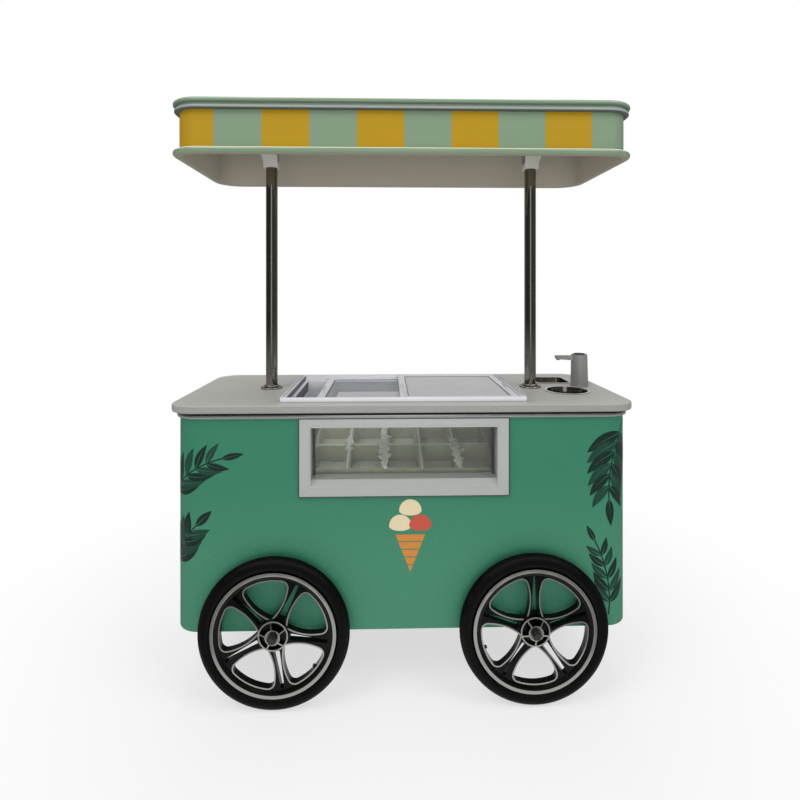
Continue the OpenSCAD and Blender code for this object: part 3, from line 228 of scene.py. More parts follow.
def moulded(name, colour, roughness=0.45, texture=0.12, gloss=0.4):
    """Moulded plastic or rubber with a fine pebbled skin."""
    finish = Finish(name)
    pebble = finish.noise(1100, 2)
    cloud = finish.noise(14, 3)
    skin = finish.mix(cloud, toned(colour, 0.93), toned(colour, 1.07))
    rough = roughness + (cloud - 0.5) * 0.14
    grained = finish.bump(pebble, texture, 0.25 * MM)
    return finish.show(finish.shader(base_color=skin, roughness=rough, normal=grained,
                                     specular_ior_level=gloss))


def stone(name, base, gloss):
    """Pale artificial stone: fine chips in a honed slab."""
    finish = Finish(name)
    chips = finish.cells(430).ease(0.1, 0.55)
    cloud = finish.noise(7, 5)
    flecks = finish.cells(170) < 0.12
    skin = finish.mix(chips * 0.6 + cloud * 0.4, toned(base, 0.88), toned(base, 1.08))
    skin = finish.mix(flecks * 0.4, skin, paint(192, 192, 188))
    rough = 0.36 + (finish.noise(24, 4) - 0.5) * 0.14
    return finish.show(finish.shader(base_color=skin, roughness=rough, specular_ior_level=gloss))


def glass(name, tint, haze, mist=None):
    """Thin glass: seen through straight on, a mirror at a low angle, with a breath of haze."""
    finish = Finish(name)
    through = finish.node("ShaderNodeBsdfTransparent", sockets={"Color": tint})
    breath = finish.shader(base_color=paint(212, 211, 214), roughness=0.5, specular_ior_level=0.1)
    mirror = finish.shader(base_color=(0.95, 0.96, 0.97, 1), metallic=1.0, roughness=0.02)
    fog = haze * (0.4 + finish.noise(12, 4) * 1.2)
    if mist is not None:
        fog = (fog + mist(finish)).sum("MINIMUM", 1.0)
    gloss = finish.node("ShaderNodeFresnel", sockets={"IOR": 1.45})
    inside = finish.node("ShaderNodeNewGeometry", output="Backfacing")
    both_faces = (gloss * 1.7 * (1 - inside)).sum("MINIMUM", 1.0)
    clear = finish.node("ShaderNodeMixShader", sockets=[both_faces, through, mirror])
    return finish.show(finish.node("ShaderNodeMixShader", sockets=[fog, clear, breath]))


def left_lid_mist(finish):
    """Condensation on the front right part of the left lid's glass."""
    x, y, _ = finish.axes()
    ragged = finish.noise(40, 3) * 4 * MM
    right_part = (x + ragged).ease(-242 * MM, -236 * MM)
    front_part = 1 - (y + ragged).ease(-98 * MM, -90 * MM)
    return right_part * front_part * 0.74


def right_lid_mist(finish):
    """An even film of condensation under the right lid's glass."""
    return 0.72 + finish.noise(9, 4) * 0.16


def tyre_rubber():
    """Black tyre: ribs run round the side wall, a fine knurl runs across the tread."""
    finish = Finish("tyre_rubber")
    x, y, z = finish.axes()
    across = abs(x) - AXLE_X
    up = z - AXLE_Z
    radius = (across * across + up * up).sum("SQRT")
    angle = finish.node("ShaderNodeMath", {"operation": "ARCTAN2"}, [up, across])
    side_wall = 1 - radius.ease(236 * MM, 241 * MM)
    tread_band = radius.ease(240 * MM, 243 * MM)
    ribs = (radius * 1900).sum("SINE") * side_wall
    knurl = (angle * 190 + abs(y) * 500).sum("SINE") * tread_band
    dust = finish.noise(30, 5).ease(0.45, 0.8) * radius.ease(225 * MM, 250 * MM)
    skin = finish.mix(dust * 0.4, paint(6, 6, 6), paint(27, 26, 25))
    rough = 0.48 + dust * 0.3 + (finish.noise(60, 3) - 0.5) * 0.15
    tread = finish.bump(ribs * 0.4 + knurl + finish.noise(700, 1) * 0.3, 0.35, 0.4 * MM)
    return finish.show(finish.shader(base_color=skin, roughness=rough, normal=tread,
                                     specular_ior_level=0.1))


def timber():
    """Pine beam: growth rings stretched along the length."""
    finish = Finish("beam_wood")
    grain = finish.noise(22, 4, (0.12, 4, 4))
    fine = finish.noise(240, 2, (0.05, 1, 1))
    skin = finish.mix(grain * 0.7 + fine * 0.3, paint(150, 112, 70), paint(205, 172, 122))
    lines = finish.bump(fine, 0.2, 0.3 * MM)
    return finish.show(finish.shader(base_color=skin, roughness=0.62, normal=lines))


def frosted_steel(name, colour, metal, frost):
    """Food steel, brushed along X, with a veil of frost."""
    finish = Finish(name)
    veil = finish.noise(26, 6).ease(0.38, 0.75) * frost
    brushed = finish.noise(700, 1, (0.05, 1, 1))
    bare = finish.mix(brushed, toned(colour, 0.92), toned(colour, 1.08))
    skin = finish.mix(veil * 0.75, bare, paint(226, 228, 220))
    rough = 0.24 + veil * 0.4 + brushed * 0.08
    rime = finish.bump(finish.cells(340) * veil + brushed * 0.1, 0.3, 0.5 * MM)
    return finish.show(finish.shader(base_color=skin, metallic=metal - veil * metal * 0.7, roughness=rough,
                                     normal=rime))


def frost_ice(name, light, dark):
    """Crusted ice with glittering grains."""
    finish = Finish(name)
    grains = finish.cells(520)
    skin = finish.mix(grains.ease(0.1, 0.6), light, dark)
    rough = 0.24 + finish.noise(300, 3) * 0.4
    crust = finish.bump(grains + finish.noise(900, 3), 0.35, 0.8 * MM)
    return finish.show(finish.shader(base_color=skin, roughness=rough, normal=crust,
                                     specular_ior_level=0.8))


def display_glass():
    """Dark display window with a faint row of unlit bars."""
    finish = Finish("display_glass")
    x, _, z = finish.axes()
    row_height, row_half = 833 * MM, 6 * MM
    row = 1 - abs(z - row_height).ease(row_half, row_half + 1 * MM)
    bars = (x * 520).sum("SINE").ease(0.5, 0.8) * row
    skin = finish.mix(bars * 0.5, paint(12, 14, 16), paint(44, 50, 52))
    rough = 0.08 + finish.noise(50, 3) * 0.08
    return finish.show(finish.shader(base_color=skin, roughness=rough))


GREEN = paint(47, 120, 92)
MINT = paint(121, 143, 118)
YELLOW = paint(170, 135, 12)
WHITE_FRAME = paint(167, 170, 167)
SLOT_FINISHES = [
    steel("frame_steel", paint(120, 122, 124), roughness=0.45, grain=(1, 1, 0.05)),
    steel("floor_steel", paint(140, 142, 144), roughness=0.4, grain=(0.05, 1, 1)),
    painted("green_sheet", GREEN, roughness=0.4, gloss=0.35, mottle=0.035, peel=0.03,
            dust_and_light_top=0.8),
    steel("trim_steel", paint(190, 193, 191), roughness=0.22, grain=(0.04, 0.04, 0.3),
          depth=0.06, metal=0.85),
    moulded("gasket_rubber", paint(30, 30, 30), roughness=0.6, gloss=0.2),
    stone("counter_stone", paint(182, 182, 177), gloss=0.24),
    painted("white_frame", WHITE_FRAME, roughness=0.38, gloss=0.35, mottle=0.02,
            marks=mitre_seams),
    glass("clear_glass", (0.97, 0.98, 0.955, 1), haze=0.01),
    painted("casing_foam", paint(196, 198, 198), roughness=0.5),
    frosted_steel("food_steel", paint(176, 176, 172), metal=0.9, frost=0.25),
    painted("lid_plastic", paint(228, 228, 233), roughness=0.34, gloss=0.4, mottle=0.03),
    painted("black_steel", paint(30, 30, 31), roughness=0.4),
    steel("cooler_metal", paint(150, 150, 148), roughness=0.36, grain=(1, 1, 0.05)),
    moulded("dark_plastic", paint(40, 41, 43), roughness=0.5),
    moulded("pipe_plastic", paint(120, 122, 122), roughness=0.4),
    moulded("tank_plastic", paint(206, 208, 204), roughness=0.42, texture=0.05),
    moulded("tap_plastic", paint(132, 131, 129), roughness=0.3, texture=0.02, gloss=0.5),
    steel("pole_steel", paint(150, 146, 138), roughness=0.08, grain=(1, 1, 0.03), depth=0.04),
    painted("head_paint", paint(190, 188, 180), roughness=0.4),
    timber(),
    painted("canopy_mint", MINT, roughness=0.16, gloss=0.6, mottle=0.03, peel=0.02),
    painted("canopy_grey", paint(146, 156, 148), roughness=0.3, gloss=0.4, mottle=0.04),
    painted("canopy_stripes", MINT, roughness=0.44, gloss=0.3, mottle=0.03),
    steel("axle_steel", paint(128, 128, 126), roughness=0.28, grain=(1, 0.05, 1)),
    painted("rim_alloy", paint(6, 6, 6), roughness=0.22, gloss=0.14, mottle=0.1),
    tyre_rubber(),
]
FINISHES = {finish.name: finish for finish in SLOT_FINISHES}
STRIPE_YELLOW = painted("stripe_yellow", YELLOW, roughness=0.44, gloss=0.3, mottle=0.03)
CANOPY_LINING = painted("canopy_lining", paint(176, 168, 155), roughness=0.6, gloss=0.2)
# A darker copy of the counter stone for the slab's sides and cut edges: painted shade.
SHADED_STONE_EDGE = stone("cut_stone", paint(146, 146, 142), gloss=0.12)
# The lip's underside, darker than the lining: painted shade.
LIP_UNDER_SHADE = painted("lip_under", paint(140, 138, 120), roughness=0.5, gloss=0.2)
BRIGHT_EDGE = steel("bright_edge", paint(168, 167, 162), roughness=0.24, grain=(1, 0.05, 1))
LEAF_DARK = painted("leaf_dark", paint(11, 38, 30), roughness=0.4, gloss=0.35, mottle=0.12)
LEAF_MID = painted("leaf_mid", paint(19, 62, 48), roughness=0.4, gloss=0.35, mottle=0.1)
CONE_AMBER = painted("cone_amber", paint(196, 128, 52), roughness=0.4, gloss=0.35)
SCOOP_CREAM = painted("scoop_cream", paint(214, 200, 164), roughness=0.4, gloss=0.35)
SCOOP_BERRY = painted("scoop_berry", paint(186, 78, 62), roughness=0.4, gloss=0.35)
PAN_STEEL = frosted_steel("pan_steel", paint(176, 177, 154), metal=0.1, frost=0.2)
PAN_FLANGE = frosted_steel("pan_flange", paint(176, 176, 160), metal=0.05, frost=0.4)
# Near-white joint caps: frost, and also a painted highlight where the joints catch the light.
PAN_RIM_FROST_HIGHLIGHT = frosted_steel("pan_rim", paint(250, 249, 242), metal=0.05, frost=0.5)
POLISHED = steel("polished_steel", paint(150, 148, 142), roughness=0.1, grain=(1, 1, 0.2), depth=0.05)
# A lighter steel on the bowls' rims: a painted highlight.
RIM_HIGHLIGHT = steel("rolled_rim", paint(228, 227, 222), roughness=0.3, grain=(1, 1, 0.2), depth=0.05,
                   metal=0.35)
# Pale cream on the lip's upper rounding: a painted highlight.
LIP_HIGHLIGHT = painted("lip_bead", paint(240, 236, 204), roughness=0.2, gloss=0.6, mottle=0.02)
# Darker tones on the downward faces of the canopy board and cornice: painted shade.
BOARD_UNDER_SHADE = painted("board_under", paint(98, 120, 98), roughness=0.5, gloss=0.2)
CORNICE_UNDER_SHADE = painted("cornice_under", paint(84, 90, 87), roughness=0.5, gloss=0.2)
GREY_SEAL = moulded("grey_seal", paint(172, 172, 178), roughness=0.5, gloss=0.2)
# A darker grey on rail faces that face along the cart: painted shade.
RAIL_SIDE_SHADE = moulded("rail_lining", paint(104, 104, 116), roughness=0.5, gloss=0.2)
SEAL = moulded("seal_rubber", paint(66, 66, 74), roughness=0.5, gloss=0.2)
LINER_WHITE = painted("liner_white", paint(214, 215, 224), roughness=0.4, gloss=0.3)
FROST = frost_ice("frost_ice", paint(254, 254, 252), paint(232, 234, 230))
PAN_ICE = frost_ice("pan_ice", paint(254, 254, 246), paint(238, 239, 228))
DISPLAY = display_glass()
NODE_FINISH = {
    "axle_nuts": painted("nut_black", paint(30, 30, 31), roughness=0.35, gloss=0.4),
    "freezer_liner": LINER_WHITE,
    "axles": steel("axle_end", paint(74, 74, 72), roughness=0.35, grain=(1, 0.05, 1)),
    "pan_rack": PAN_FLANGE,
    "lid_left_glass": glass("left_lid_glass", (0.92, 0.93, 0.97, 1), haze=0.03, mist=left_lid_mist),
    "lid_right_glass": glass("right_lid_glass", (0.96, 0.965, 0.98, 1), haze=0.05, mist=right_lid_mist),
}


def finish_of(node):
    """A node's own finish, or the one of its slot."""
    return NODE_FINISH.get(node, FINISHES[SLOT_OF[node]])


# Making pieces

EASED_ANGLE = math.radians(32)
SHADING_ANGLE = math.radians(38)


def piece(name, mesh, finishes, body="cart", stands_for=()):
    """A finished piece of the cart, riding on its body."""
    thing = bpy.data.objects.new(name, mesh)
    scene.collection.objects.link(thing)
    for finish in finishes:
        mesh.materials.append(finish.owner)
    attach(thing, body)
    if stands_for:
        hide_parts(*stands_for)


def cad_shape(node):
    """A node's solid, its split edges joined and its flat faces made whole."""
    source = frame["nodes"][node].data
    plain = bpy.data.meshes.new(node + "_plain")
    plain.from_pydata([v.co for v in source.vertices], [], [list(p.vertices) for p in source.polygons])
    made = bmesh.new()
    made.from_mesh(plain)
    bpy.data.meshes.remove(plain)
    bmesh.ops.remove_doubles(made, verts=made.verts, dist=0.01 * MM)
    bmesh.ops.dissolve_limit(made, angle_limit=math.radians(0.4), verts=made.verts, edges=made.edges)
    made.normal_update()
    return made


def ease_edges(made, width):
    """Rounds the sharp edges of a solid."""
    edges = [e for e in made.edges if len(e.link_faces) == 2 and e.calc_face_angle(0) > EASED_ANGLE]
    bmesh.ops.bevel(made, geom=edges, offset=width, segments=2, profile=0.5, affect="EDGES",
                    clamp_overlap=True)


def smooth_mesh(name, made):
    """A mesh that shades smoothly, apart from its sharp edges."""
    mesh = bpy.data.meshes.new(name)
    made.normal_update()
    made.to_mesh(mesh)
    made.free()
    mesh.shade_smooth()
    mesh.set_sharp_from_angle(angle=SHADING_ANGLE)
    return mesh


def dressed(node, made, finishes, ending="_dressed"):
    """A piece that stands for a node."""
    name = node + ending
    piece(name, smooth_mesh(name, made), finishes, BODY_OF[node], [node])


def eased(node, width):
    """A node's own solid with eased edges, standing for it."""
    made = cad_shape(node)
    ease_edges(made, width)
    dressed(node, made, [finish_of(node)], "_eased")


def bench_object(name, made):
    """A form laid out as an object of its own, for a modifier to work on."""
    mesh = bpy.data.meshes.new(name)
    made.to_mesh(mesh)
    made.free()
    thing = bpy.data.objects.new(name, mesh)
    scene.collection.objects.link(thing)
    return thing


def worked_mesh(name, thing):
    """What the modifiers make of an object."""
    mesh = bpy.data.meshes.new_from_object(thing.evaluated_get(bpy.context.evaluated_depsgraph_get()))
    mesh.name = name
    return mesh


def skin_rings(made, rings):
    """Closes a row of rings into a solid, with a cap at each end."""
    count = len(rings[0])
    for low, high in zip(rings, rings[1:]):
        for i in range(count):
            following = (i + 1) % count
            made.faces.new([low[i], low[following], high[following], high[i]])
    made.faces.new(rings[0][::-1])
    made.faces.new(rings[-1])


def turned(made, place, out, profile, count=14):
    """A turned form on a place of the cart: its profile gives radius and height along out, and its sides."""
    lean = Vector((0, 0, 1)).rotation_difference(Vector(out)).to_matrix().to_4x4()
    stand = Matrix.Translation(place) @ lean
    rings = []
    for radius, height, sides in profile:
        ring = []
        for i in range(count):
            turn = 2 * math.pi * i / count
            reach = radius
            if sides:
                sector = 2 * math.pi / sides
                reach = radius * math.cos(sector / 2) / math.cos(turn % sector - sector / 2)
            spot = Vector((reach * math.cos(turn), reach * math.sin(turn), height))
            ring.append(made.verts.new(stand @ spot))
        rings.append(ring)
    skin_rings(made, rings)


class RoundPath:
    """A rounded rectangle seen from above, measured from the middle of its front towards +X."""

    def __init__(self, length, depth, radius):
        self.radius = radius
        self.half_flat = length / 2 - radius
        side = depth - 2 * radius
        arc = radius * math.pi / 2
        round_end = [(arc, True), (side, False), (arc, True)]
        self.legs = [(self.half_flat, False), *round_end, (2 * self.half_flat, False), *round_end,
                     (self.half_flat, False)]
        self.total = sum(leg for leg, _ in self.legs)
        self.front = -depth / 2

    def at(self, distance):
        """The point there and the direction that faces out."""
        left = distance % self.total
        spot = Vector((0, self.front))
        turn = 0.0
        for leg, bent in self.legs:
            step = min(left, leg)
            heading = Vector((math.cos(turn), math.sin(turn)))
            if bent:
                centre = spot + Vector((-heading.y, heading.x)) * self.radius
                turn += step / self.radius
                spot = centre + Vector((math.sin(turn), -math.cos(turn))) * self.radius
            else:
                spot = spot + heading * step
            left -= step
            if left <= 0:
                break
        return spot, Vector((math.sin(turn), -math.cos(turn)))


# Canopy

def striped_fascia():
    """The fascia board: stripes outside, plain lining inside, the stripes meeting evenly at the back."""
    low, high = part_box("canopy_fascia")
    size = high - low
    path = RoundPath(size.x, size.y, CORNER_RADIUS)
    wall = 6 * MM
    stripes = 26
    steps = 12
    made = bmesh.new()
    rings = []
    for i in range(stripes * steps):
        spot, out = path.at(path.total * i / (stripes * steps))
        inner = spot - out * wall
        corners = [(spot, low.z), (spot, high.z), (inner, high.z), (inner, low.z)]
        rings.append([made.verts.new((p.x, p.y, z)) for p, z in corners])
    for i, ring in enumerate(rings):
        following = rings[(i + 1) % len(rings)]
        for k in range(4):
            face = made.faces.new([ring[k], following[k], following[(k + 1) % 4], ring[(k + 1) % 4]])
            face.material_index = (i // steps) % 2 if k == 0 else 2
    bmesh.ops.recalc_face_normals(made, faces=made.faces)
    dressed("canopy_fascia", made, [FINISHES["canopy_stripes"], STRIPE_YELLOW, CANOPY_LINING], "_striped")


def lined_lip():
    """The lip: painted outside, lined where it faces in, with painted shade on its underside and a painted
    highlight along its top.
    """
    made = cad_shape("canopy_lip")
    for face in made.faces:
        spot = face.calc_center_median()
        outward = face.normal.x * spot.x + face.normal.y * spot.y
        if outward < -0.02 * MM:
            face.material_index = 1
        # Downward faces get painted shade, upward faces a painted highlight.
        elif face.normal.z < -0.9:
            face.material_index = 2
        elif face.normal.z > 0.6:
            face.material_index = 3
    dressed("canopy_lip", made, [FINISHES["canopy_mint"], CANOPY_LINING, LIP_UNDER_SHADE, LIP_HIGHLIGHT], "_lined")


def shaded_under(node, finish):
    """A piece of the canopy with a dark line of painted shade where its rounded edge turns under."""
    made = cad_shape(node)
    for face in made.faces:
        if face.normal.z < -0.55:
            face.material_index = 1
    dressed(node, made, [finish_of(node), finish], "_shaded")


# Counter

def dressed_counter():
    """The slab, polished on top and honed round its cut edge, where a darker copy of the stone is painted
    shade.
    """
    made = cad_shape("countertop")
    for face in made.faces:
        # Faces that do not look up get the darker stone, as painted shade.
        if face.normal.z < 0.8:
            face.material_index = 1
    dressed("countertop", made, [FINISHES["counter_stone"], SHADED_STONE_EDGE])


def rimmed_bowl(node):
    """A polished bowl whose top faces at the rim are a lighter steel: a painted highlight."""
    made = cad_shape(node)
    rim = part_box(node)[1].z - 0.5 * MM
    for face in made.faces:
        if face.calc_center_median().z > rim:
            face.material_index = 1
    ease_edges(made, 0.6 * MM)
    dressed(node, made, [POLISHED, RIM_HIGHLIGHT], "_rimmed")


LYING = Matrix.Identity(3)
UPRIGHT = Matrix(((1, 0, 0), (0, 0, -1), (0, 1, 0)))


def seal_ring(name, corner, far_corner, width, tall, finish, body="cart", stand=LYING):
    """A flat rubber seal round a rectangle, growing inwards from it and rising out of its plane."""
    made = bmesh.new()
    base = corner.z
    rings = []
    for inset, height in ((0, base), (0, base + tall), (width, base + tall), (width, base)):
        low_x, high_x = corner.x + inset, far_corner.x - inset
        low_y, high_y = corner.y + inset, far_corner.y - inset
        ring = [(low_x, low_y), (high_x, low_y), (high_x, high_y), (low_x, high_y)]
        rings.append([made.verts.new(stand @ Vector((x, y, height))) for x, y in ring])
    for ring, following in zip(rings, rings[1:] + rings[:1]):
        for i in range(4):
            made.faces.new([ring[i], ring[(i + 1) % 4], following[(i + 1) % 4], following[i]])
    bmesh.ops.recalc_face_normals(made, faces=made.faces)
    ease_edges(made, 0.3 * MM)
    piece(name, smooth_mesh(name, made), [finish], body)


def freezer_seals():
    """A grey seal round the lid track on the slab and dark ones round the glass of both lids."""
    low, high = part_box("lid_track")
    bead = 2.4 * MM
    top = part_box("countertop")[1].z
    grow = Vector((bead, bead, 0))
    corner = Vector((low.x, low.y, top)) - grow
    far_corner = Vector((high.x, high.y, top)) + grow
    seal_ring("track_seal", corner, far_corner, bead - 0.1 * MM, 2.6 * MM, GREY_SEAL)
    bar, edge, strip = 28 * MM, 22 * MM, 2.6 * MM
    for node in ("lid_left", "lid_right"):
        low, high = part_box(node)
        glass_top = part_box(node + "_glass")[1].z
        inset = Vector((bar, edge, 0))
        corner = Vector((low.x, low.y, glass_top + 0.1 * MM)) + inset
        seal_ring(node + "_seal", corner, high - inset, strip, 1.2 * MM, SEAL, BODY_OF[node])


def shaded_rails(node, width):
    """A part of the sliding lids with a darker grey of painted shade where its rails face along the cart."""
    made = cad_shape(node)
    ease_edges(made, width)
    made.normal_update()
    for face in made.faces:
        if abs(face.normal.x) > 0.9:
            face.material_index = 1
    dressed(node, made, [finish_of(node), RAIL_SIDE_SHADE], "_eased")


def window_seal():
    """A dark seal between the window frame's outer edge and the body, standing almost as proud as the frame
    so that it also shows below the frame as a painted shadow line.
    """
    low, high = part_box("window_frame")
    bead, body_face, tuck = 2.6 * MM, 308 * MM, 0.2 * MM
    # Almost as proud as the frame: the seal's dark edge shows below the frame as painted shadow.
    proud = -low.y - body_face - 1.5 * MM
    corner = Vector((low.x - bead, low.z - bead, body_face))
    far_corner = Vector((high.x + bead, high.z + tuck, body_face))
    seal_ring("window_seal", corner, far_corner, bead - 0.1 * MM, proud, SEAL, stand=UPRIGHT)


# Wheels, with the bright zones of a rim as least height over its middle plane, inner and outer radius in mm

BEAD_ZONE = (12.2, 50, 186)
FLANGE_ZONE = (20, 192, 250)
HUB_RING_ZONE = (20.2, 44.5, 50)
AXLE_SEAT_ZONE = (29, -1, 26)
RIB_ZONE = (19.5, 24, 46)


def dressed_rim(key):
    """A rim with bright beads, ring and ribs on its black spokes."""
    node = "rim_" + key
    made = cad_shape(node)
    centre_x = math.copysign(AXLE_X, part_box(node)[0].x)
    outside = math.copysign(1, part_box(node)[0].y)
    for face in made.faces:
        corners = [v.co for v in face.verts]
        radius = sum(math.hypot(p.x - centre_x, p.z - AXLE_Z) for p in corners) / len(corners) / MM
        proud = sum(abs(p.y) - WHEEL_Y for p in corners) / len(corners) / MM
        zones = [BEAD_ZONE, FLANGE_ZONE, HUB_RING_ZONE, AXLE_SEAT_ZONE]
        if 0.5 < face.normal.y * outside < 0.99:
            zones.append(RIB_ZONE)
        if any(proud > least and inner < radius < outer for least, inner, outer in zones):
            face.material_index = 1
    dressed(node, made, [FINISHES["rim_alloy"], BRIGHT_EDGE])


def valve_stem(key, angle):
    """The tyre's valve, standing in a rim window, with its cap."""
    side = 1 if key[1] == "r" else -1
    end = -1 if key[0] == "f" else 1
    centre = Vector((side * AXLE_X, end * WHEEL_Y, AXLE_Z))
    turn = math.radians(angle)
    inward = Vector((-math.cos(turn), 0, -math.sin(turn)))
    rim_well = 187 * MM
    seat = centre - inward * rim_well
    stem = [(7, 0), (7, 4), (5.4, 7), (5, 10), (5.6, 10.2), (5.6, 17), (4.4, 18.5)]
    made = bmesh.new()
    turned(made, seat, inward, [(radius * MM, height * MM, 0) for radius, height in stem])
    name = "valve_stem_" + key
    piece(name, smooth_mesh(name, made), [FINISHES["gasket_rubber"]], "wheel_" + key)


# Pans and frost

PAN_PITCH_X = 135 * MM
PAN_PITCH_V = 188 * MM


def on_rack(across, along, lift):
    """A place on the sloping pan rack."""
    slope = Vector((0, math.cos(RACK_TILT), math.sin(RACK_TILT)))
    rise = Vector((0, -math.sin(RACK_TILT), math.cos(RACK_TILT)))
    return RACK_MIDDLE + Vector((across, 0, 0)) + slope * along + rise * lift


def dressed_pans():
    """The pans, their flanges a tone lighter, with a near-white cap along each joint between them, frost that
    is also a painted highlight.
    """
    made = cad_shape("pans")
    slope = on_rack(0, 1, 0) - RACK_MIDDLE
    rise = on_rack(0, 0, 1) - RACK_MIDDLE
    spots = [v.co - RACK_MIDDLE for v in made.verts]
    top = max(spot.dot(rise) for spot in spots)
    ends = min(spot.dot(slope) for spot in spots), max(spot.dot(slope) for spot in spots)
    sides = min(spot.x for spot in spots), max(spot.x for spot in spots)
    for face in made.faces:
        if (face.calc_center_median() - RACK_MIDDLE).dot(rise) > -0.5 * MM:
            face.material_index = 1
    ease_edges(made, 0.7 * MM)
    dressed("pans", made, [PAN_STEEL, PAN_FLANGE])
    half, tall = 3.2 * MM, 2.4 * MM
    profile = [(-half, 0), (-half * 0.6, tall), (half * 0.6, tall), (half, 0)]
    runs = []
    for joint in (-1.5, -0.5, 0.5, 1.5):
        middle = joint * PAN_PITCH_X
        runs.append([[on_rack(middle + wide, end, top + lift) for wide, lift in profile] for end in ends])
    runs.append([[on_rack(end, wide, top + lift * 0.9) for wide, lift in profile] for end in sides])
    caps = bmesh.new()
    for run in runs:
        skin_rings(caps, [[caps.verts.new(spot) for spot in ring] for ring in run])
    bmesh.ops.recalc_face_normals(caps, faces=caps.faces)
    ease_edges(caps, 0.6 * MM)
    piece("joint_caps", smooth_mesh("joint_caps", caps), [PAN_RIM_FROST_HIGHLIGHT])


def pan_ice():
    """An uneven bed of frozen frost on the floor of each pan."""
    length, depth, radius = 116 * MM, 169 * MM, 15.5 * MM
    floor, points = -87.8 * MM, 56
    steps = ((0, 0), (0, 25), (4, 28), (14, 29), (28, 30), (44, 30))
    ripple, wave, least_radius = 3.5 * MM, 22 * MM, 5 * MM
    made = bmesh.new()
    for column in (-2, -1, 0, 1, 2):
        for row in (-0.5, 0.5):
            middle = Vector((column * PAN_PITCH_X, row * PAN_PITCH_V))
            rings = []
            for inset, lift in steps:
                edge = RoundPath(length - 2 * inset * MM, depth - 2 * inset * MM,
                                 max(radius - inset * MM, least_radius))
                ring = []
                for i in range(points):
                    spot = middle + edge.at(edge.total * i / points)[0]
                    place = on_rack(spot.x, spot.y, floor + lift * MM)
                    if lift:
                        place += Vector((0, 0, noise.noise(place / wave) * ripple))
                    ring.append(made.verts.new(place))
                rings.append(ring)
            skin_rings(made, rings)
    bmesh.ops.recalc_face_normals(made, faces=made.faces)
    piece("pan_ice", smooth_mesh("pan_ice", made), [PAN_ICE])


def frost_crust():
    """Crusted ice along three of the joints between the pans."""
    draw = random.Random(7)
    made = bmesh.new()
    crusts = [(-1.5, -60, 60, 13, 90), (-0.5, -184, 180, 17, 260), (1.5, -184, 40, 16, 190)]
    for joint, low, high, half, lumps in crusts:
        for i in range(lumps):
            along = (low + (high - low) * (i + draw.random()) / lumps) * MM
            swell = 0.55 + 0.45 * math.sin(math.pi * (i + 0.5) / lumps)
            across = joint * PAN_PITCH_X + draw.gauss(0, 0.5) * half * swell * MM
            size = (2.6 + 4 * draw.random()) * MM * (0.7 + 0.5 * swell)
            spot = on_rack(across, along, (4 + 9 * draw.random() * swell) * MM)
            bmesh.ops.create_icosphere(made, subdivisions=1, radius=size, matrix=Matrix.Translation(spot))
    loose = bench_object("frost_lumps", made)
    crust = loose.modifiers.new("crust", "REMESH")
    crust.mode = "VOXEL"
    crust.voxel_size = 1.6 * MM
    whole = worked_mesh("frost_crust", loose)
    bpy.data.objects.remove(loose)
    for vertex in whole.vertices:
        coarse = noise.noise_vector(vertex.co / (4 * MM)) * 1.1
        fine = noise.noise_vector(vertex.co / (1.8 * MM)) * 0.6
        vertex.co += (coarse + fine) * MM
    whole.materials.clear()
    whole.shade_flat()
    piece("frost_crust", whole, [FROST])


def pane_spacer():
    """The dark spacer round the top and sides of the inner pane."""
    pane_t, gap, wall, deep = 4 * MM, 0.3 * MM, 7 * MM, 20 * MM
    half, bottom, top = 316 * MM, 737 * MM, 916.2 * MM
    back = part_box("window_panes")[1].y - pane_t - gap
    made = bmesh.new()
    rings = []
    for side, height in ((-1, bottom), (-1, top), (1, top), (1, bottom)):
        inner = (side * (half - wall), min(height, top - wall))
        corners = [((side * half, height), back - deep), ((side * half, height), back), (inner, back),
                   (inner, back - deep)]
        rings.append([made.verts.new((x, y, z)) for (x, z), y in corners])
    skin_rings(made, rings)
    bmesh.ops.recalc_face_normals(made, faces=made.faces)
    ease_edges(made, 0.6 * MM)
    piece("pane_spacer", smooth_mesh("pane_spacer", made), [FINISHES["gasket_rubber"]])


# Printed leaves on the body

BODY_PATH = RoundPath(1556 * MM, 616 * MM, CORNER_RADIUS)
PRINT_LIFT = 0.3 * MM
PRINT_STEP = 0.03 * MM


def on_body(distance, height, lift):
    """A place on the body, by its distance round it from the middle of the front."""
    spot, out = BODY_PATH.at(distance)
    spot = spot + out * lift
    return (spot.x, spot.y, height)


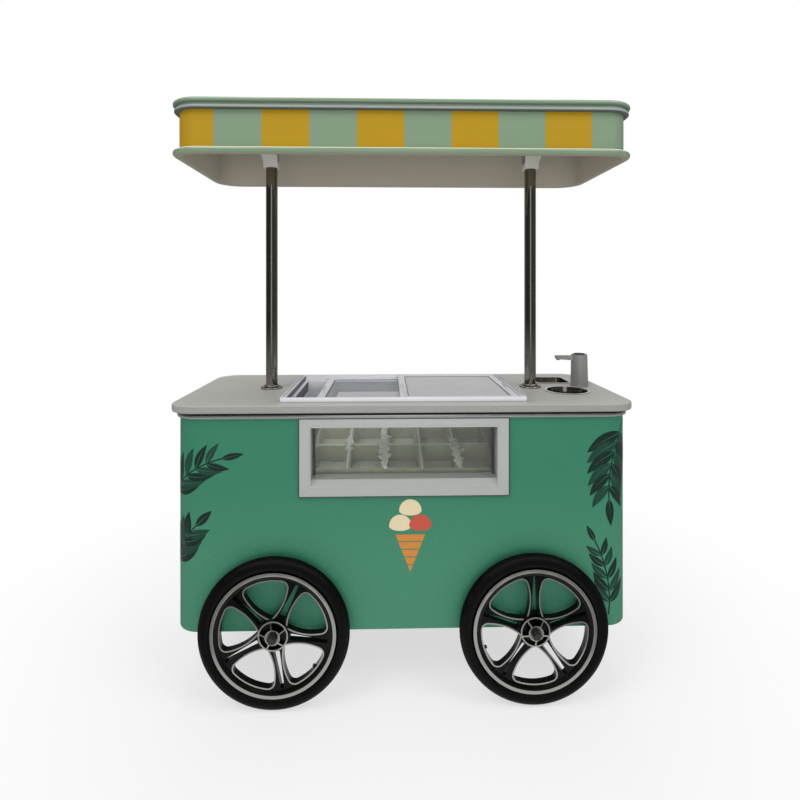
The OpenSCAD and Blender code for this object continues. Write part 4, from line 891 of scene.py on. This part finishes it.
class Print:
    """A thin printed film on the body, drawn in distance round the body and height."""

    def __init__(self, name, finishes):
        self.name = name
        self.finishes = finishes
        self.made = bmesh.new()
        self.lift = PRINT_LIFT

    def strip(self, left, right, finish=0, across=4):
        """A film between two lines of points, a little above the film before it, bent round the body."""
        self.lift += PRINT_STEP
        lines = []
        for k in range(across + 1):
            share = k / across
            line = []
            for (near, low), (far, high) in zip(left, right):
                line.append((near + (far - near) * share, low + (high - low) * share))
            lines.append(line)
        top = [[self.made.verts.new(on_body(*p, self.lift)) for p in line] for line in lines]
        under = [[self.made.verts.new(on_body(*p, 0)) for p in line] for line in lines]
        last = len(left) - 1
        loops = []
        for sheet in (top, under):
            for first, second in zip(sheet, sheet[1:]):
                loops += [[first[i], second[i], second[i + 1], first[i + 1]] for i in range(last)]
        for k in (0, across):
            loops += [[top[k][i], top[k][i + 1], under[k][i + 1], under[k][i]] for i in range(last)]
        for i in (0, last):
            loops += [[top[k][i], top[k + 1][i], under[k + 1][i], under[k][i]] for k in range(across)]
        for loop in loops:
            self.made.faces.new(loop).material_index = finish

    def finish(self):
        """Closes the film and puts it on the cart."""
        bmesh.ops.remove_doubles(self.made, verts=self.made.verts, dist=0.01 * MM)
        bmesh.ops.recalc_face_normals(self.made, faces=self.made.faces)
        piece(self.name, smooth_mesh(self.name, self.made), self.finishes)


def curve(start, angle, length, bend, count):
    """Points and headings along a line that bends evenly."""
    spot = Vector(start)
    step = length / (count - 1)
    points = []
    for i in range(count):
        turn = angle + bend * i / (count - 1)
        heading = Vector((math.cos(turn), math.sin(turn)))
        points.append((spot.copy(), heading))
        spot += heading * step
    return points


def draw_leaf(film, start, angle, length, width, bend, finish):
    """A pointed oval leaf in two halves, with its midrib left bare."""
    line = curve(start, angle, length, bend, 19)
    for side in (-1, 1):
        inner, outer = [], []
        for i, (spot, heading) in enumerate(line):
            share = i / (len(line) - 1)
            across = Vector((-heading.y, heading.x)) * side
            half = width / 2 * math.sin(math.pi * share ** 0.8) ** 0.9
            rib = 1.2 * MM * (1 - share) + 0.1 * MM
            inner.append(tuple(spot + across * rib))
            outer.append(tuple(spot + across * max(half, rib * 1.5)))
        film.strip(inner, outer, finish)


def draw_sprig(film, start, angle, length, bend, pairs, leaf_length, leaf_width):
    """A bent stem with pairs of leaves and one at its tip."""
    stem = curve(start, angle, length, bend, 49)
    half_stem, spread, leaf_bend = 2.2 * MM, math.radians(48), math.radians(26)
    left = [tuple(spot + Vector((-heading.y, heading.x)) * half_stem) for spot, heading in stem]
    right = [tuple(spot - Vector((-heading.y, heading.x)) * half_stem) for spot, heading in stem]
    film.strip(left, right, 0)
    for i in range(pairs):
        share = 0.16 + 0.8 * i / pairs
        spot, heading = stem[round(share * (len(stem) - 1))]
        turn = math.atan2(heading.y, heading.x)
        size = 1 - 0.45 * share
        for side in (-1, 1):
            draw_leaf(film, spot, turn + side * spread, leaf_length * size, leaf_width * size,
                      -side * leaf_bend, (i + (side > 0)) % 2)
    tip, heading = stem[-1]
    draw_leaf(film, tip, math.atan2(heading.y, heading.x), leaf_length * 0.6, leaf_width * 0.6, 0, 0)


def printed_sprigs():
    """Leaf sprigs: where each starts, its angle, length and bend, its pairs of leaves and their size."""
    places = [
        ("sprig_left_high", (-0.815, 0.66), 62, 0.26, -50, 5, 0.125, 0.036),
        ("sprig_left_low", (-0.80, 0.44), 68, 0.18, -24, 4, 0.12, 0.046),
        ("sprig_right_high", (0.77, 0.93), -122, 0.28, 36, 6, 0.15, 0.048),
        ("sprig_right_low", (0.70, 0.27), 84, 0.26, 34, 5, 0.1, 0.032),
        ("sprig_end_right", (1.0, 0.3), 96, 0.5, -24, 8, 0.14, 0.042),
        ("sprig_end_left", (-1.02, 0.3), 80, 0.5, 26, 8, 0.14, 0.042),
    ]
    for name, start, angle, length, bend, pairs, leaf_length, leaf_width in places:
        film = Print(name, [LEAF_DARK, LEAF_MID])
        draw_sprig(film, start, math.radians(angle), length, math.radians(bend), pairs, leaf_length,
                   leaf_width)
        film.finish()


def printed_cone():
    """A plain cone with three scoops in the middle of the front."""
    film = Print("cone_picture", [CONE_AMBER, SCOOP_CREAM, SCOOP_BERRY])
    middle, rim = 0.02, 0.555
    half, tall = 0.052, 0.13
    bars = 5
    for i in range(bars):
        low, high = i / bars, (i + 0.86) / bars
        left = [(middle - half * share, rim - tall * (1 - share)) for share in (low, high)]
        right = [(middle + half * share, rim - tall * (1 - share)) for share in (low, high)]
        film.strip(left, right, 0)
    scoops = [(-0.034, 0.026, 1), (0.034, 0.026, 2), (0.0, 0.078, 1)]
    size = 0.038
    for across, up, finish in scoops:
        turns = [math.pi * i / 16 for i in range(17)]
        top = [(middle + across + size * math.cos(t), rim + up + size * math.sin(t)) for t in turns]
        low = [(middle + across + size * math.cos(t), rim + up - size * 0.45 * math.sin(t)) for t in turns]
        film.strip(low, top, finish)
    film.finish()


# Fasteners and small fittings

def screws(name, places, out, radius, body="cart"):
    """Button heads with a six-sided socket."""
    tall = radius * 0.62
    socket = radius * 0.46
    head = [(radius, 0, 0), (radius, tall * 0.3, 0), (radius * 0.85, tall * 0.75, 0),
            (radius * 0.58, tall, 0), (socket, tall, 6), (socket, tall * 0.4, 6)]
    made = bmesh.new()
    for place in places:
        turned(made, Vector(place) * MM, out, head, 12)
    piece(name, smooth_mesh(name, made), [FINISHES["axle_steel"]], body)


def rear_screws():
    """Screws of the vent, the door hinges and the control panel, in mm: columns, face, rows and radius."""
    groups = [
        ("vent_screws", (-170, 0, 170), 312, (295, 419), 4),
        ("hinge_screws", (-474, 474), 310, (567, 603, 777, 813), 3.4),
        ("panel_screws", (-71, 71), 316, (784.6, 851.4), 2.2),
    ]
    for name, columns, face, rows, radius in groups:
        screws(name, [(x, face, z) for x in columns for z in rows], (0, 1, 0), radius * MM)


def display_window():
    """The dark window of the control panel's display."""
    half, low, high, face = 31.5 * MM, 818.5 * MM, 847.5 * MM, 315.4 * MM
    glass_t = 1.2 * MM
    made = bmesh.new()
    rings = []
    for inset, depth in ((0, face - glass_t), (0, face - 0.3 * MM), (0.4 * MM, face)):
        corners = [(-half + inset, low + inset), (-half + inset, high - inset), (half - inset, high - inset),
                   (half - inset, low + inset)]
        rings.append([made.verts.new((x, depth, z)) for x, z in corners])
    skin_rings(made, rings)
    piece("display_window", smooth_mesh("display_window", made), [DISPLAY])


def drain_strainer():
    """A domed strainer with round holes over the basin's drain."""
    low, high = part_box("basin_drain")
    middle = Vector(((low.x + high.x) / 2, (low.y + high.y) / 2, high.z))
    radius, seat, holes, hole = 14 * MM, 2.4 * MM, 8, 2.1 * MM
    up = Vector((0, 0, 1))
    dome = [(radius * 0.9, 0, 0), (radius * 0.9, seat, 0), (radius, 2.5 * MM, 0), (radius, 3.4 * MM, 0),
            (radius * 0.7, 4.4 * MM, 0), (radius * 0.2, 4.9 * MM, 0)]
    solid = bmesh.new()
    turned(solid, middle - up * seat, up, dome, 32)
    punches = bmesh.new()
    for i in range(holes):
        turn = 2 * math.pi * i / holes
        spot = middle + Vector((math.cos(turn), math.sin(turn), 0)) * radius * 0.58
        turned(punches, spot - up * 6 * MM, up, [(hole, 0, 0), (hole, 14 * MM, 0)], 12)
    for form in (solid, punches):
        bmesh.ops.recalc_face_normals(form, faces=form.faces)
    plate = bench_object("strainer_plate", solid)
    punch = bench_object("strainer_holes", punches)
    cut = plate.modifiers.new("holes", "BOOLEAN")
    cut.operation = "DIFFERENCE"
    cut.object = punch
    whole = worked_mesh("drain_strainer", plate)
    for tool in (plate, punch):
        bpy.data.objects.remove(tool)
    whole.shade_smooth()
    whole.set_sharp_from_angle(angle=SHADING_ANGLE)
    piece("drain_strainer", whole, [FINISHES["trim_steel"]])


# Stage

def seen_straight(finish):
    """1 where the camera sees it, straight on or in polish and glass, and 0 for the light that it throws."""
    rays = ("Is Camera Ray", "Is Glossy Ray", "Is Transmission Ray")
    seen = [finish.node("ShaderNodeLightPath", output=ray) for ray in rays]
    return (seen[0] + seen[1] + seen[2]).sum("MINIMUM", 1.0)


def pale_floor():
    """White paper on the ground, which keeps the shadow near the cart and is plain white further off."""
    mesh = bpy.data.meshes.new("floor")
    reach = 30
    mesh.from_pydata([(-reach, -reach, 0), (reach, -reach, 0), (reach, reach, 0), (-reach, reach, 0)], [],
                     [(0, 1, 2, 3)])
    floor = bpy.data.objects.new("floor", mesh)
    scene.collection.objects.link(floor)
    ground = Finish("floor_paper")
    x, y, _ = ground.axes()
    far = (x * x + y * y).sum("SQRT").ease(0.9, 2.2)
    shown = seen_straight(ground) * (0.6 + far * 0.4)
    paper = ground.node("ShaderNodeBsdfDiffuse", sockets={"Color": (0.92, 0.92, 0.92, 1)})
    white = ground.node("ShaderNodeEmission", sockets={"Color": (1, 1, 1, 1), "Strength": 1.0})
    ground.show(ground.node("ShaderNodeMixShader", sockets=[shown, paper, white]))
    mesh.materials.append(ground.owner)


def studio_light():
    """Even light from all round, and five soft lamps that face the cart."""
    world = bpy.data.worlds.new("studio")
    scene.world = world
    air = Finish("studio", world)
    ambient = 0.5
    level = ambient + seen_straight(air) * (1 - ambient)
    air.show(air.node("ShaderNodeBackground", sockets={"Color": (1, 1, 1, 1), "Strength": level}),
             "ShaderNodeOutputWorld")
    aim = Vector((0, 0, 1.0))
    mirrored_above = 2
    lamps = [
        ("lamp_left", (-2.6, -3.0, 5.2), 2.6, 86),
        ("lamp_right", (3.0, -2.8, 4.6), 2.6, 64),
        ("lamp_top", (0.0, 0.6, 5.0), 3.0, 70),
        ("lamp_low", (0.0, -4.2, 0.5), 2.4, 58),
        ("lamp_back", (0.0, 4.4, 1.0), 2.4, 44),
    ]
    for name, spot, size, power in lamps:
        lamp = bpy.data.objects.new(name, bpy.data.lights.new(name, "AREA"))
        lamp.data.size = size
        lamp.data.energy = power
        lamp.location = spot
        lamp.rotation_euler = (aim - Vector(spot)).to_track_quat("-Z", "Y").to_euler()
        lamp.visible_glossy = spot[2] > mirrored_above
        scene.collection.objects.link(lamp)


def studio_walls():
    """Dim studio walls and ground with one bright window in front, which only show in polished surfaces."""
    near, far, lift, tall = 0.95, 6.5, 0.004, 4.8
    steps = 48
    mesh = bpy.data.meshes.new("studio_walls")
    points, faces = [], []
    for i in range(steps):
        turn = 2 * math.pi * i / steps
        for radius, height in ((near, lift), (far, lift), (far, tall)):
            points.append((radius * math.cos(turn), radius * math.sin(turn), height))
    for i in range(steps):
        low, high = 3 * i, 3 * ((i + 1) % steps)
        for k in range(2):
            faces.append((low + k, low + k + 1, high + k + 1, high + k))
    mesh.from_pydata(points, [], faces)
    walls = bpy.data.objects.new("studio_walls", mesh)
    scene.collection.objects.link(walls)
    walls.visible_camera = False
    walls.visible_diffuse = False
    walls.visible_shadow = False
    walls.visible_transmission = False
    front_wall, back_wall = (0.07, 0.07, 0.07, 1), (0.37, 0.37, 0.37, 1)
    window_white, ground_grey = (0.95, 0.95, 0.92, 1), (0.38, 0.38, 0.38, 1)
    cloth = Finish("studio_cloth")
    x, y, z = cloth.axes()
    light = y.ease(0.5, 6) * 0.8 + x.ease(-6, 6) * 0.2
    window = (1 - abs(x).ease(1.0, 1.4)) * (y < 0)
    shade = cloth.mix(light, front_wall, back_wall)
    shade = cloth.mix(window, shade, window_white)
    shade = cloth.mix(z.ease(0.1, 0.9), ground_grey, shade)
    cloth.show(cloth.node("ShaderNodeBsdfDiffuse", sockets={"Color": shade}))
    mesh.materials.append(cloth.owner)


def set_camera():
    """The photograph's view: level, nearly straight on, with its horizon above the middle of the frame."""
    frame_px = 800
    lens_px = 547.15
    horizon_px = 287.24
    camera = bpy.data.objects.new("camera", bpy.data.cameras.new("camera"))
    camera.data.lens = camera.data.sensor_width * lens_px / frame_px
    camera.data.shift_y = horizon_px / frame_px - 0.5
    camera.location = (-63.6 * MM, -2163.5 * MM, 1390.4 * MM)
    camera.rotation_euler = (math.radians(90), 0, math.radians(-1.5))
    scene.collection.objects.link(camera)
    scene.camera = camera


set_camera()
pale_floor()
studio_light()
studio_walls()

for node, solid in frame["nodes"].items():
    solid.data.materials.clear()
    solid.data.materials.append(finish_of(node).owner)

EASED_MM = {"window_frame": 1.2, "pole_heads": 1.2, "tap_head": 1.5, "tap_base": 1.2, "tap_button": 1.2,
            "top_trim": 3, "door_left": 1, "door_right": 1, "control_panel": 0.8}
for node, width in EASED_MM.items():
    eased(node, width * MM)
for node in ("lid_left", "lid_right", "lid_track"):
    shaded_rails(node, 0.8 * MM)
lined_lip()
shaded_under("canopy_board", BOARD_UNDER_SHADE)
shaded_under("canopy_cornice", CORNICE_UNDER_SHADE)
striped_fascia()
dressed_counter()
for node in ("basin", "utensil_pan"):
    rimmed_bowl(node)
freezer_seals()
window_seal()
VALVE_ANGLES = {"fl": -40, "fr": 200, "rl": -40, "rr": 200}
for wheel, angle in VALVE_ANGLES.items():
    dressed_rim(wheel)
    valve_stem(wheel, angle)
dressed_pans()
pan_ice()
frost_crust()
pane_spacer()
printed_sprigs()
printed_cone()
rear_screws()
display_window()
drain_strainer()
